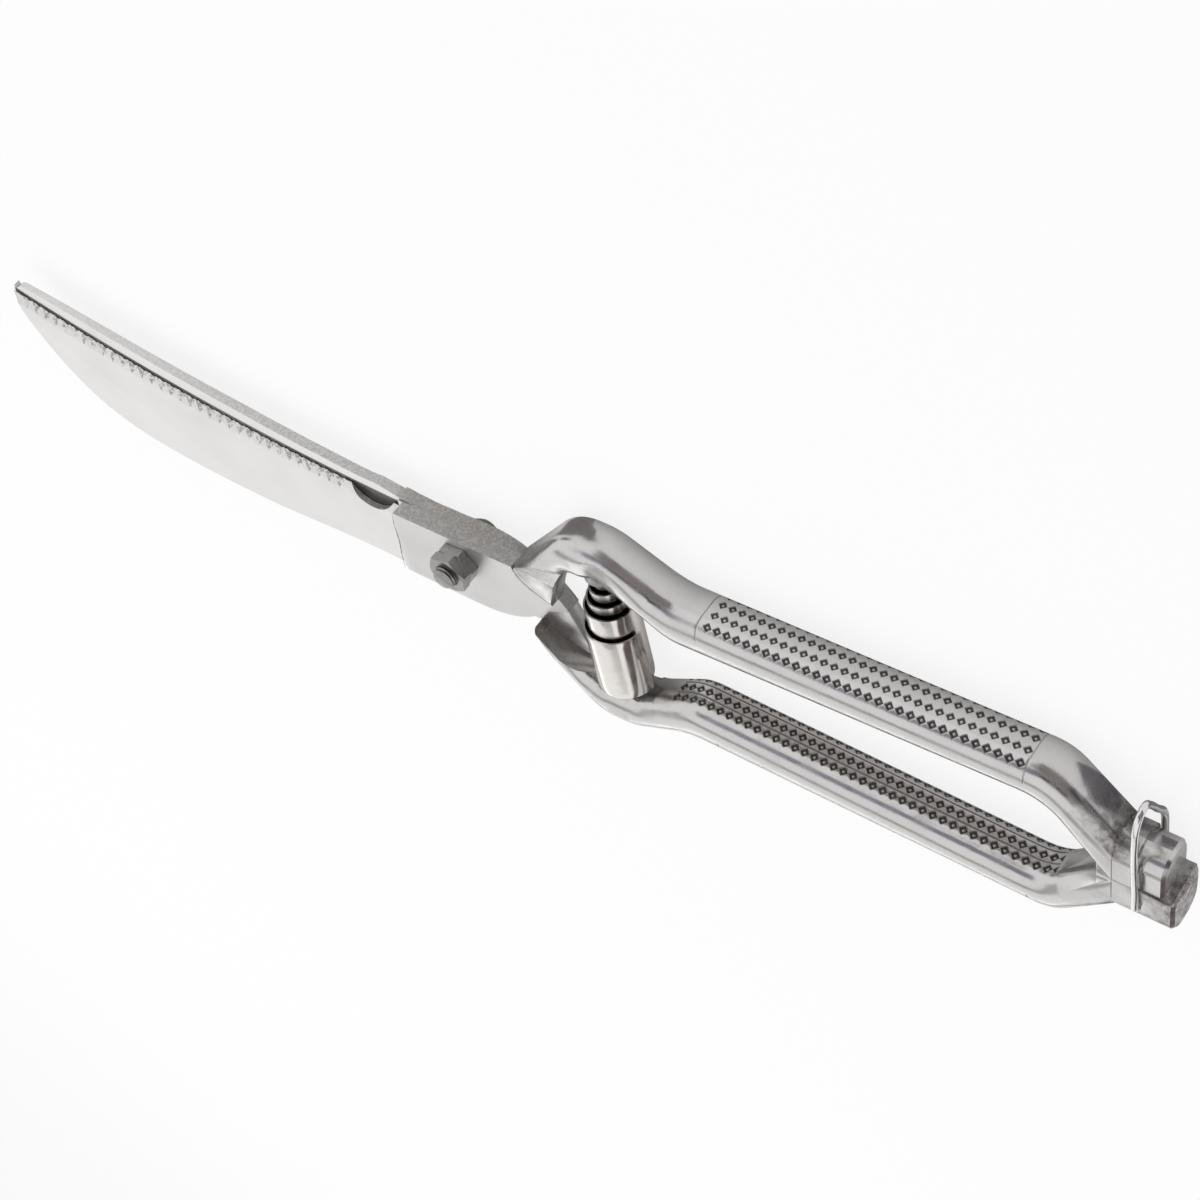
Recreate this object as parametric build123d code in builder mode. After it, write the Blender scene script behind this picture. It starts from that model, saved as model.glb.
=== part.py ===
from build123d import *
import math
import os

os.makedirs("parts", exist_ok=True)

# Spring loaded poultry shears, closed and held by their wire catch.
# X runs from the blade tips to the handle ends, Z is the pivot axis.
# The origin is the centre of the pivot bolt's flat head, on the table.

# Levels along the pivot axis
wire_diameter = 1.3
catch_side_gap = 0.2
head_width = 9.4
handle_width = 10.0
plate_thickness = 3.4
plate_gap = 0.1
overrun = 2.0

mid_z = wire_diameter + catch_side_gap + head_width / 2
bar_low_z = mid_z - handle_width / 2
front_low_z = mid_z + plate_gap / 2
front_top_z = front_low_z + plate_thickness
back_top_z = mid_z - plate_gap / 2
back_low_z = back_top_z - plate_thickness

# Pivot bolt and its two nuts
bolt_diameter = 5.0
bolt_fit = 0.05
bolt_head_diameter = 9.2
bolt_head_dome = 1.1
bolt_end_length = 1.7
bolt_end_dome = 0.6
nut_width = 8.0
nut_height = 2.1
nut_gap = 0.1
nut_chamfer_angle = 30
nut_turn = 4
lock_nut_turn = 13

# Cutting edge of the front blade, an arc hollow to the top
blade_reach = 117.4
edge_low_x = -2.1
edge_low_y = 3.8
edge_radius = 414.5

# Front blade outline below the edge
boss_top_y = 5.75
boss_step_x = -16.4
shoulder_tilt = 2.4
seam_top_x = 13.8
seam_end_x = 22.0
seam_end_y = -1.25
boss_depth = 12.4
belly_end_x = -17.0
seam_shares = ((0.12, 0.62), (0.5, 0.3))
boss_shares = ((0.76, 0.59), (0.42, 0.92))
belly_shares = ((0.4, 0.965), (0.68, 0.9), (0.865, 0.38), (0.955, -0.62))
tip_width = 1.1

# Bone notch in the cutting edge
notch_x = -23.1
notch_y = 7.3
notch_radius = 6.1

# Hollow grind of the outer faces
shoulder_step = 0.4
edge_thickness = 0.25
bevel_width = 2.1
bevel_thickness = 1.2
tip_thickness = 1.35
body_thickness = 2.9

# Serrations along the edge
tooth_count = 33
tooth_first_x = -31.5
tooth_last_inset = 3.9
tooth_width = 1.8
tooth_depth = 0.55
tooth_angle = 38

# Back blade, whose spine shows above the front edge
spine_step_x = -13.0
spine_step_y = 6.4
spine_start_x = -21.5
spine_start_y = 11.0
spine_show = 3.44
spine_shares = ((0.54, 0.602), (0.775, 0.815), (0.93, 0.968))
back_edge_low_y = -0.6
back_edge_radius = 380.0
back_top_shares = ((-0.14, 0.89), (0.36, 0.83), (0.76, -0.05))
back_tip_inset = 0.2
back_tip_round = 3.0
back_boss_low_y = -11.6
choil_x = -12.5

# Tangs that hold the blades in the handles
tang_length = 7.0
tang_width = 5.0
tang_thickness = 1.5
tang_angle = 45

# Handles, mirrored about the plane where their ends meet
meet_y = -4.2
meet_gap = 0.2
arch_rise = 26.2
arch_bar = 8.9
arch_start_x = 27.7
arch_end_x = 36.6
arch_wall = 6.32
arch_in_end_x = 38.2
arch_foot_x = 24.4
arch_foot_share = 0.389
waist_x = 50.4
waist_half_gap = 9.7
waist_bar = 9.6
heel_x = 126.6
heel_in_x = 124.4
heel_half_gap = 12.6
heel_bar = 8.3
crotch_x = 134.6
neck_x = 137.4
neck_rise = 9.9
bar_corner = 3.3
arch_out_radius = 9.0
arch_out_end_radius = 12.0
waist_out_radius = 14.0
heel_out_radius = 9.0
foot_radius = 9.0
arch_in_radius = 5.2
arch_in_end_radius = 9.0
waist_in_radius = 9.0
heel_in_radius = 8.0
root_back_z = 3.0
root_end_x = 21.0
palm_end_x = 29.5
palm_line_end_x = 38.0
palm_line_rise = 19.4
palm_slope = 2.6

# Ends of the handles
neck_end_x = 141.3
tongue_end_x = 146.4
tongue_step = 0.35
head_corner = 4.0
lower_end_x = 148.5
lower_head_height = 9.7
end_edge = 0.6

# Volute buffer spring between the arches
spring_x = 33.5
spring_radius = 5.7
strip_thickness = 0.45
strip_pitch = 0.95
spring_turns = 5
spring_outer_share = 0.5625
spring_second_share = 0.75
spring_foot_rise = 3.0
spring_min_gap = 0.4
spring_samples = 48

# Pegs that hold the ends of the spring
peg_diameter = 3.0
peg_depth = 4.0
peg_fit = 0.02
peg_collar_diameter = 6.4
peg_collar_height = 1.8
lower_collar_diameter = 8.6
lower_collar_height = 2.1
seat_margin = 0.3
peg_pilot_diameter = 2.2
peg_pilot_length = 2.6
peg_seat_gap = 0.3

# Wire catch through the lower handle's end
catch_x = 142.0
catch_y = -9.2
catch_hole_fit = 0.1
catch_stub = 3.2
catch_knee_y = 10.0
catch_peak_y = 17.6
catch_lean = 0.6
catch_peak_radius = 2.2
catch_corner_radius = 2.6


def edge_y(x, low_y, radius):
    """Height of an edge arc at one place along the blade."""
    return low_y + radius - math.sqrt(radius ** 2 - (x - edge_low_x) ** 2)


def front_edge(x):
    return (x, edge_y(x, edge_low_y, edge_radius))


def back_edge(x):
    return (x, edge_y(x, back_edge_low_y, back_edge_radius))


def mirrored(point):
    """The same place on the other side of the plane where the handles meet."""
    return (point[0], 2 * meet_y - point[1])


def risen(x, rise):
    """A place at one rise above the plane where the handles meet."""
    return (x, meet_y + rise)


seam_top = (seam_top_x, boss_top_y)
seam_end = (seam_end_x, seam_end_y)
seam_points = [seam_top] + [
    (seam_top_x + (seam_end_x - seam_top_x) * along,
     seam_end_y + (boss_top_y - seam_end_y) * up)
    for along, up in seam_shares] + [seam_end]
boss_points = [seam_end] + [(seam_end_x * along, -boss_depth * down)
                            for along, down in boss_shares] + [(0, -boss_depth)]
belly_points = [(belly_end_x, -boss_depth * belly_shares[0][1])] + [
    (-blade_reach * along, -boss_depth * down) for along, down in belly_shares]
tip_top = front_edge(-blade_reach)
tip_low = (tip_top[0] + tip_width / 2, tip_top[1] - tip_width)
back_tip_x = back_tip_inset - blade_reach
tip_rise = tip_top[1] + spine_show


def blade_grind(low_y, radius, outer_z, toward, thin):
    """What the grindstone takes off one outer face, along the edge arc.

    outer_z is the face before grinding and toward is +1 or -1, the way out.
    thin is the thickness left along the far side of the blade.
    """
    centre = (edge_low_x, low_y + radius)
    inner_z = outer_z - toward * plate_thickness
    sweep_angle = math.degrees(math.asin(blade_reach / radius)) + overrun
    far = radius + 2 * boss_depth
    plane = Plane(origin=(centre[0], centre[1], 0), x_dir=(0, -1, 0), z_dir=(-1, 0, 0))
    with BuildPart() as cutter:
        with BuildSketch(plane):
            with BuildLine():
                Polyline(
                    (radius - overrun, inner_z + toward * edge_thickness),
                    (radius, inner_z + toward * edge_thickness),
                    (radius + bevel_width, inner_z + toward * bevel_thickness),
                    (far, inner_z + toward * thin),
                    (far, outer_z + toward * overrun),
                    (radius - overrun, outer_z + toward * overrun),
                    close=True)
            make_face()
        revolve(axis=Axis((centre[0], centre[1], 0), (0, 0, -1)),
                revolution_arc=sweep_angle)
        # the shoulder line leans towards the tip on its way down
        with BuildSketch(Plane.XY.offset(outer_z - toward * plate_thickness)):
            with BuildLine():
                Polyline((boss_step_x + shoulder_tilt, 2 * spine_start_y),
                         (boss_step_x + shoulder_tilt / 2, boss_top_y),
                         (boss_step_x - shoulder_tilt / 2, -boss_depth),
                         (boss_step_x - shoulder_tilt, -2 * boss_depth),
                         (seam_end_x, -2 * boss_depth),
                         (seam_end_x, 2 * spine_start_y), close=True)
            make_face()
        extrude(amount=toward * 2 * plate_thickness, mode=Mode.SUBTRACT)
    return cutter.part


def distal_taper(outer_z, toward):
    """The wedge that thins a blade from its shoulder to its tip."""
    with BuildPart() as wedge:
        with BuildSketch(Plane.XZ.offset(-2 * tip_rise)):
            with BuildLine():
                Polyline((boss_step_x, outer_z - toward * shoulder_step),
                         (-blade_reach - overrun,
                          outer_z - toward * (plate_thickness - tip_thickness)),
                         (-blade_reach - overrun, outer_z + toward * overrun),
                         (boss_step_x, outer_z + toward * overrun), close=True)
            make_face()
        extrude(amount=2 * (tip_rise + boss_depth) + tip_rise)
    return wedge.part


def tang(thickness_z, side, fit):
    """The tongue of a blade's boss that reaches into its handle."""
    start = Vector(seam_points[1][0], seam_points[1][1])
    end = Vector(*seam_points[2])
    root = (start + end) / 2
    if side < 0:
        root = Vector(*mirrored((root.X, root.Y)))
    with BuildPart() as tongue:
        with BuildSketch(Plane(origin=(root.X, root.Y, thickness_z),
                               x_dir=Vector(1, 0, 0).rotate(
                                   Axis.Z, side * tang_angle))):
            Rectangle(2 * tang_length + 2 * fit, tang_width + 2 * fit)
        extrude(amount=tang_thickness / 2 + fit, both=True)
    return tongue.part


# One serration, a V that runs out of the bevel, in the edge arc's own polar frame
tooth_last_x = tooth_last_inset - blade_reach
tooth_slope = tooth_width / 2 / (tooth_depth * math.sin(math.radians(tooth_angle)))
with BuildPart() as tooth:
    with BuildSketch(Plane(origin=(edge_radius + tooth_depth, 0, front_low_z),
                           x_dir=(0, 1, 0),
                           z_dir=Vector(1, 0, 0).rotate(Axis.Y, -tooth_angle))):
        with BuildLine():
            Polyline((-tooth_slope * tooth_width, tooth_width), (0, 0),
                     (tooth_slope * tooth_width, tooth_width), close=True)
        make_face()
    extrude(amount=2 * bevel_width, both=True)


def edge_angle(x):
    """Direction from the edge arc's centre to one place along the edge."""
    return math.degrees(math.asin((x - edge_low_x) / edge_radius)) - 90


# Front blade: boss, notch, hollow grind and serrations
with BuildPart() as front_blade:
    with BuildSketch(Plane.XY.offset(front_low_z)) as front_outline:
        with BuildLine():
            ThreePointArc(tip_top, front_edge((boss_step_x - blade_reach) / 2),
                          front_edge(boss_step_x))
            Polyline(front_edge(boss_step_x), (boss_step_x, boss_top_y), seam_top)
            Spline(*seam_points)
            Spline(*boss_points, tangents=[(-tip_width, -tip_width), (-overrun, 0)])
            Line((0, -boss_depth), belly_points[0])
            Spline(*belly_points, tip_low)
            Line(tip_low, tip_top)
        make_face()
        with Locations((notch_x, notch_y)):
            Circle(notch_radius, mode=Mode.SUBTRACT)
    extrude(amount=plate_thickness)
    add(distal_taper(front_top_z, 1), mode=Mode.SUBTRACT)
    add(blade_grind(edge_low_y, edge_radius, front_top_z, 1, body_thickness),
        mode=Mode.SUBTRACT)
    add(tang(front_low_z + plate_thickness / 2, 1, 0))
    with Locations((edge_low_x, edge_low_y + edge_radius)):
        with PolarLocations(0, tooth_count, edge_angle(tooth_first_x),
                            edge_angle(tooth_last_x) - edge_angle(tooth_first_x),
                            endpoint=True):
            add(tooth.part, mode=Mode.SUBTRACT)
    with Locations((0, 0, front_top_z)):
        Hole(bolt_diameter / 2 + bolt_fit, depth=plate_thickness)
front_blade.part.label = "front_blade"


# Back blade: its thin spine stands above the front edge, its bevel is hidden
spine_points = [(spine_start_x, spine_start_y)] + [
    (-blade_reach * along, tip_rise * up) for along, up in spine_shares] + [
    (back_tip_x + back_tip_round, tip_rise)]
back_top_points = [(spine_step_x, spine_step_y)] + [
    (seam_end_x * along, boss_top_y * up)
    for along, up in back_top_shares] + [mirrored(seam_end)]
back_tip_low = back_edge(back_tip_x + back_tip_round)
with BuildPart() as back_blade:
    with BuildSketch(Plane.XY.offset(back_low_z)):
        with BuildLine():
            Spline(*spine_points)
            ThreePointArc(spine_points[-1],
                          (back_tip_x, (tip_rise + back_tip_low[1]) / 2), back_tip_low)
            ThreePointArc(back_tip_low, back_edge((choil_x - blade_reach) / 2),
                          back_edge(choil_x))
            Polyline(back_edge(choil_x), (choil_x, back_boss_low_y), mirrored(seam_top))
            Spline(*[mirrored(point) for point in seam_points])
            Spline(*back_top_points)
            Line(back_top_points[0], spine_points[0])
        make_face()
    extrude(amount=plate_thickness)
    add(distal_taper(back_low_z, -1), mode=Mode.SUBTRACT)
    add(blade_grind(back_edge_low_y, back_edge_radius, back_low_z, -1, body_thickness),
        mode=Mode.SUBTRACT)
    add(tang(back_low_z + plate_thickness / 2, -1, 0))
    with Locations((0, 0, back_top_z)):
        Hole(bolt_diameter / 2 + bolt_fit, depth=plate_thickness)
back_blade.part.label = "back_blade"

# Pivot bolt: domed flat head under the back plate, rounded threaded end
with BuildPart() as pivot_bolt:
    with BuildSketch(Plane.XY):
        Circle(bolt_head_diameter / 2)
    extrude(amount=back_low_z)
    chamfer(pivot_bolt.edges().sort_by(Axis.Z)[0], length=bolt_head_dome)
    with BuildSketch(Plane.XY):
        Circle(bolt_diameter / 2)
    extrude(amount=front_top_z + nut_gap + 2 * nut_height + bolt_end_length)
    chamfer(pivot_bolt.edges().sort_by(Axis.Z)[-1], length=bolt_end_dome)
pivot_bolt.part.label = "pivot_bolt"


def hexagon_nut(low_z, turn):
    """A nut on the bolt, chamfered on its outer face."""
    corner_radius = nut_width / math.sqrt(3)
    rise = (corner_radius - nut_width / 2) * math.tan(math.radians(nut_chamfer_angle))
    with BuildPart() as nut:
        with BuildSketch(Plane.XY.offset(low_z).rotated((0, 0, turn))):
            RegularPolygon(nut_width / 2, 6, major_radius=False)
        extrude(amount=nut_height)
        with BuildSketch(Plane.XZ):
            with BuildLine():
                Polyline((0, low_z), (corner_radius, low_z),
                         (corner_radius, low_z + nut_height - rise),
                         (nut_width / 2, low_z + nut_height), (0, low_z + nut_height),
                         close=True)
            make_face()
        revolve(axis=Axis.Z, mode=Mode.INTERSECT)
        with Locations((0, 0, low_z + nut_height)):
            Hole(bolt_diameter / 2 + bolt_fit, depth=nut_height)
    return nut.part


pivot_nut = hexagon_nut(front_top_z + nut_gap, nut_turn)
pivot_nut.label = "pivot_nut"
lock_nut = hexagon_nut(front_top_z + nut_gap + nut_height, lock_nut_turn)
lock_nut.label = "lock_nut"

# Handle bar that both handles share, drawn as the upper one
bar_top_z = bar_low_z + handle_width
upper_seat_y = meet_y + arch_rise - arch_bar
lower_seat_y = 2 * meet_y - upper_seat_y
arch_side = Vector(arch_start_x - seam_top_x, meet_y + arch_rise - boss_top_y)
arch_in_start_x = (arch_start_x - arch_bar * arch_side.X / arch_side.Y
                   + arch_wall * arch_side.length / arch_side.Y)
meet_top_y = meet_y + meet_gap / 2
outer_points = [seam_top, risen(arch_start_x, arch_rise), risen(arch_end_x, arch_rise),
                risen(waist_x, waist_half_gap + waist_bar),
                risen(heel_x, heel_half_gap + heel_bar), risen(neck_x, neck_rise)]
inner_points = [(crotch_x, meet_top_y), risen(heel_in_x, heel_half_gap),
                risen(waist_x, waist_half_gap),
                risen(arch_in_end_x, arch_rise - arch_bar),
                risen(arch_in_start_x, arch_rise - arch_bar),
                risen(arch_foot_x, arch_rise * arch_foot_share), seam_end]
palm_line = Vector(palm_line_end_x - seam_top_x,
                   meet_y + palm_line_rise - boss_top_y)
palm_across = palm_line.rotate(Axis.Z, 90)
with BuildPart() as handle_bar:
    with BuildSketch(Plane.XY.offset(bar_low_z)):
        with BuildLine():
            FilletPolyline(*outer_points, radius=[arch_out_radius, arch_out_end_radius,
                                                  waist_out_radius, heel_out_radius])
            Polyline(outer_points[-1], (neck_x, meet_top_y), inner_points[0])
            FilletPolyline(*inner_points,
                           radius=[heel_in_radius, waist_in_radius,
                                   arch_in_end_radius, arch_in_radius, foot_radius])
            Spline(*seam_points)
        make_face()
    extrude(amount=handle_width)
    long_edges = [edge for face in (handle_bar.faces().sort_by(Axis.Z)[0],
                                    handle_bar.faces().sort_by(Axis.Z)[-1])
                  for edge in face.edges().filter_by(GeomType.BSPLINE, reverse=True)
                  if edge.center().X < crotch_x]
    fillet(long_edges, radius=bar_corner)
    # the root thickens from the plate to the full bar behind its top edge
    with BuildSketch(Plane.XZ.offset(-arch_rise)):
        with BuildLine():
            Polyline((seam_top_x - overrun, root_back_z), (seam_top_x, root_back_z),
                     (root_end_x, bar_low_z), (root_end_x, bar_low_z - overrun),
                     (seam_top_x - overrun, bar_low_z - overrun), close=True)
        make_face()
    extrude(amount=2 * arch_rise, mode=Mode.SUBTRACT)
    # the palm beside the boss is a plate, open behind
    with BuildSketch(Plane.XY.offset(front_low_z)):
        with BuildLine():
            Polyline((seam_top_x - overrun, seam_end_y - overrun),
                     (seam_top_x - overrun,
                      boss_top_y - overrun * palm_line.Y / palm_line.X),
                     (palm_end_x, boss_top_y
                      + (palm_end_x - seam_top_x) * palm_line.Y / palm_line.X),
                     (palm_end_x, seam_end_y - overrun), close=True)
        make_face()
    extrude(amount=-handle_width, mode=Mode.SUBTRACT)
    # and its flat front runs on as a facet under the arch
    with BuildSketch(Plane(origin=Vector(seam_top_x, boss_top_y, front_top_z)
                           - palm_line.normalized() * seam_end_x,
                           x_dir=palm_across, z_dir=palm_line)):
        with BuildLine():
            Polyline((-arch_rise, 0), (0, 0),
                     (palm_slope, bar_top_z - front_top_z),
                     (palm_slope, bar_top_z - front_top_z + overrun),
                     (-arch_rise, bar_top_z - front_top_z + overrun), close=True)
        make_face()
    extrude(amount=palm_line.length + seam_end_x, mode=Mode.SUBTRACT)
    add(tang(front_low_z + plate_thickness / 2, 1, peg_fit), mode=Mode.SUBTRACT)
    # the inside of the arch is faced flat round the hole for the spring's peg
    with BuildSketch(Plane.XZ.offset(-upper_seat_y)):
        with Locations((spring_x, mid_z)):
            Circle(lower_collar_diameter / 2 + seat_margin)
    extrude(amount=overrun, mode=Mode.SUBTRACT)
    with Locations(Location((spring_x, upper_seat_y, mid_z), (90, 0, 0))):
        Hole(peg_diameter / 2 + peg_fit, depth=peg_depth + peg_fit)

flip = Axis((0, meet_y, mid_z), (1, 0, 0))
head_low_y = meet_y - meet_gap / 2 - lower_head_height

# Upper handle: a half round tongue lies on the lower handle's end
with BuildPart() as upper_handle:
    add(handle_bar.part)
    for start_x, end_x, step in ((crotch_x, neck_end_x, 0),
                                 (neck_end_x, tongue_end_x, tongue_step)):
        top_y = meet_y + neck_rise - 2 * step
        with BuildSketch(Plane.YZ.offset(start_x)) as head_section:
            with Locations(((meet_top_y + top_y) / 2, mid_z)):
                Rectangle(top_y - meet_top_y, head_width - 2 * step)
            fillet(head_section.vertices().group_by(Axis.X)[-1], radius=head_corner)
        extrude(amount=end_x - start_x)
    chamfer(upper_handle.faces().sort_by(Axis.X)[-1].edges(), length=end_edge)
upper_handle.part.label = "upper_handle"

# Lower handle: the same bar turned over, with a rounded end drilled for the wire
with BuildPart() as lower_handle:
    add(handle_bar.part.rotate(flip, 180))
    with BuildSketch(Plane.YZ.offset(crotch_x)) as end_section:
        with Locations((meet_y - meet_gap / 2 - lower_head_height / 2, mid_z)):
            Rectangle(lower_head_height, head_width)
        fillet(end_section.vertices().group_by(Axis.X)[0], radius=head_corner)
    extrude(amount=lower_end_x - crotch_x)
    chamfer(lower_handle.faces().sort_by(Axis.X)[-1].edges(), length=end_edge)
    with Locations((catch_x, catch_y, mid_z + handle_width)):
        Hole(wire_diameter / 2 + catch_hole_fit)
lower_handle.part.label = "lower_handle"

# Volute buffer spring: one strip of half turns that climb into each other
spring_bottom_y = lower_seat_y + lower_collar_height
spring_core_top_y = upper_seat_y - peg_collar_height - peg_seat_gap
spring_height = spring_core_top_y - spring_bottom_y
half_turns = 2 * spring_turns - 1
turn_tops = [spring_bottom_y + spring_height * spring_outer_share,
             spring_bottom_y + spring_height * spring_second_share]
turn_climb = (spring_core_top_y - turn_tops[1]) / (spring_turns - 2)
strip_points = []
with BuildPart() as buffer_spring:
    for half in range(half_turns):
        turn = half // 2
        radius = spring_radius - half * strip_pitch / 2
        centre_x = spring_x - (half % 2) * strip_pitch / 2
        if turn < len(turn_tops):
            top_y = turn_tops[turn]
        else:
            top_y = turn_tops[1] + turn_climb * (turn - 1)
        foot_y = spring_bottom_y + turn * spring_foot_rise / spring_turns
        start = 180 * (half % 2)
        with BuildSketch(Plane.XZ.offset(-foot_y)):
            with BuildLine():
                outer_arc = CenterArc((centre_x, mid_z), radius + strip_thickness / 2,
                                      start, 180)
                inner_arc = CenterArc((centre_x, mid_z), radius - strip_thickness / 2,
                                      start, 180)
                Line(outer_arc @ 0, inner_arc @ 0)
                Line(outer_arc @ 1, inner_arc @ 1)
            make_face()
        extrude(amount=-(top_y - foot_y))
        strip_points += [
            (centre_x + radius * math.cos(math.radians(start + 180 * step / spring_samples)),
             mid_z + radius * math.sin(math.radians(start + 180 * step / spring_samples)),
             2 * half * spring_samples + step) for step in range(spring_samples)]
buffer_spring.part.label = "buffer_spring"

# the turns stay apart: least distance between the strip and its next turn
least = min(math.dist(a[:2], b[:2]) - strip_thickness
            for a in strip_points for b in strip_points
            if b[2] - a[2] > 2 * spring_samples)
print("spring turns stand", round(least, 3), "mm apart, at least",
      spring_min_gap, "is needed")

# Pegs: a shank in the arch, a collar under the spring's end and a pilot in its core

def spring_peg(seat_y, collar_y, collar_diameter, way):
    """way is +1 when the shank points up the Y axis into the upper arch."""
    with BuildPart() as peg:
        for start_y, end_y, diameter in (
                (seat_y, seat_y + way * peg_depth, peg_diameter),
                (collar_y, seat_y, collar_diameter),
                (collar_y - way * peg_pilot_length, collar_y, peg_pilot_diameter)):
            with BuildSketch(Plane.XZ.offset(-start_y)):
                with Locations((spring_x, mid_z)):
                    Circle(diameter / 2)
            extrude(amount=start_y - end_y)
    return peg.part


upper_spring_peg = spring_peg(upper_seat_y, spring_core_top_y + peg_seat_gap,
                              peg_collar_diameter, 1)
upper_spring_peg.label = "upper_spring_peg"
lower_spring_peg = spring_peg(lower_seat_y, spring_bottom_y, lower_collar_diameter, -1)
lower_spring_peg.label = "lower_spring_peg"

# Wire catch: a bail hinged in the lower handle's end, stood up over the upper one
catch_low_z = wire_diameter / 2
catch_high_z = 2 * mid_z - catch_low_z
catch_path = [
    (catch_x, catch_y, catch_low_z + catch_stub), (catch_x, catch_y, catch_low_z),
    (catch_x - catch_lean, catch_knee_y, catch_low_z),
    (catch_x - catch_lean, catch_peak_y, mid_z - wire_diameter),
    (catch_x - catch_lean, catch_peak_y, catch_high_z),
    (catch_x, catch_y, catch_high_z), (catch_x, catch_y, catch_high_z - catch_stub)]
with BuildPart() as wire_catch:
    with BuildLine() as catch_line:
        Polyline(*catch_path[:3])
        FilletPolyline(*catch_path[2:-1], radius=[catch_peak_radius, catch_corner_radius])
        Line(*catch_path[-2:])
    with BuildSketch(Plane(origin=catch_line.line @ 0, z_dir=catch_line.line % 0)):
        Circle(wire_diameter / 2)
    sweep(path=catch_line.line, transition=Transition.RIGHT)
wire_catch.part.label = "wire_catch"

for piece in (front_blade.part, back_blade.part, pivot_bolt.part, pivot_nut, lock_nut,
              upper_handle.part, lower_handle.part, buffer_spring.part,
              upper_spring_peg, lower_spring_peg, wire_catch.part):
    export_step(piece, f"parts/{piece.label}.step")
    box = piece.bounding_box()
    print(f"{piece.label:18s} {piece.volume:9.1f} mm3  X {box.min.X:7.1f} {box.max.X:7.1f}"
          f"  Y {box.min.Y:6.1f} {box.max.Y:6.1f}  Z {box.min.Z:5.2f} {box.max.Z:5.2f}"
          f"  solids {len(piece.solids())}")
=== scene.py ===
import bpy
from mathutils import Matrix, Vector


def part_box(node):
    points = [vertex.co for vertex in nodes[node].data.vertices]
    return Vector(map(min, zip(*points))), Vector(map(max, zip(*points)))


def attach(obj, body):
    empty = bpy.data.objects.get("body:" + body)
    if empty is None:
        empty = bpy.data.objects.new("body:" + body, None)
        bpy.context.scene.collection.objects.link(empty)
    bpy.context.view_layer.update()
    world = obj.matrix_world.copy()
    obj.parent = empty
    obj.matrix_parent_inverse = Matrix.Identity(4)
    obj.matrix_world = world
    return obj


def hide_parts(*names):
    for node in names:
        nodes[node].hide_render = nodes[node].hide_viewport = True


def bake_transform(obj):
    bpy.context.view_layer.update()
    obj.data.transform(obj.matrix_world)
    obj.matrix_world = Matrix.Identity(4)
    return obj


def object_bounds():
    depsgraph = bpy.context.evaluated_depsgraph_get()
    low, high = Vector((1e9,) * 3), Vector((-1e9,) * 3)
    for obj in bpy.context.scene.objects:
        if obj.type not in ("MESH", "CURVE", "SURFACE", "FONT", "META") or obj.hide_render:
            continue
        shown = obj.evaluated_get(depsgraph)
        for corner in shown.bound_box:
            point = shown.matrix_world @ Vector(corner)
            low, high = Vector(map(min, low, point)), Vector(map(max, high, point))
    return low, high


bl_info = {
    "name": "Poultry shears",
    "version": (1, 0, 0),
    "blender": (4, 5, 0),
    "location": "View3D > Sidebar > Shears",
    "description": "Dresses the frame of a pair of spring loaded poultry shears",
    "category": "Object",
}

import math

import bmesh
import bpy
import numpy as np
from bpy.props import FloatProperty, FloatVectorProperty, IntProperty, PointerProperty
from mathutils import Matrix, Vector
from mathutils.bvhtree import BVHTree

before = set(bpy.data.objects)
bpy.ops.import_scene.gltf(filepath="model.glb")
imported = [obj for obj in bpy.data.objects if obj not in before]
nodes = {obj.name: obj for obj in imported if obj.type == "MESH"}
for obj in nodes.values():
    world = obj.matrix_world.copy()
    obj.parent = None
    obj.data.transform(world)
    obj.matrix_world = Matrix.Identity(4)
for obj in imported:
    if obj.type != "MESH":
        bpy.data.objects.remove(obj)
cad_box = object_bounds()

# Frame of the shears: X from the blade tips to the handle ends, Y towards the
# upper handle, Z along the pivot axis. Everything is in metres.
MM = 0.001
SAME_PLACE = 0.0001 * MM
bolt_low, bolt_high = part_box("pivot_bolt")
front_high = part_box("front_blade")[1]
back_low, back_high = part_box("back_blade")
upper_low, upper_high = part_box("upper_handle")
lower_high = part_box("lower_handle")[1]
spring_low, spring_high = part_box("buffer_spring")
catch_low, catch_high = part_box("wire_catch")
mid_z = (upper_low[2] + upper_high[2]) / 2
meet_y = (upper_low[1] + lower_high[1]) / 2


# Settings in the sidebar

class ShearsFinish(bpy.types.PropertyGroup):
    """Colours and gloss of the shears' steels."""
    blade_colour: FloatVectorProperty(
        name="Blade", description="Colour of the ground and polished blades",
        subtype="COLOR", size=3, min=0, max=1, default=(0.80, 0.785, 0.77))
    handle_colour: FloatVectorProperty(
        name="Handles", description="Colour of the satin cast handles",
        subtype="COLOR", size=3, min=0, max=1, default=(0.62, 0.605, 0.595))
    fastener_colour: FloatVectorProperty(
        name="Bolt and nuts", description="Colour of the turned bolt, nuts and pegs",
        subtype="COLOR", size=3, min=0, max=1, default=(0.35, 0.345, 0.335))
    spring_colour: FloatVectorProperty(
        name="Spring", description="Colour of the rolled spring strip",
        subtype="COLOR", size=3, min=0, max=1, default=(0.78, 0.75, 0.72))
    wire_colour: FloatVectorProperty(
        name="Wire", description="Colour of the drawn wire of the catch",
        subtype="COLOR", size=3, min=0, max=1, default=(0.80, 0.79, 0.78))
    # this colour is the seam film's own, and is also laid on as painted shade in the pits,
    # pressed lines, thread grooves, spring turns and between the blades
    grime_and_shade_colour: FloatVectorProperty(
        name="Grime_and_shade", description="Colour of the dark film left in pits and corners",
        subtype="COLOR", size=3, min=0, max=1, default=(0.045, 0.038, 0.035))


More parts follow.
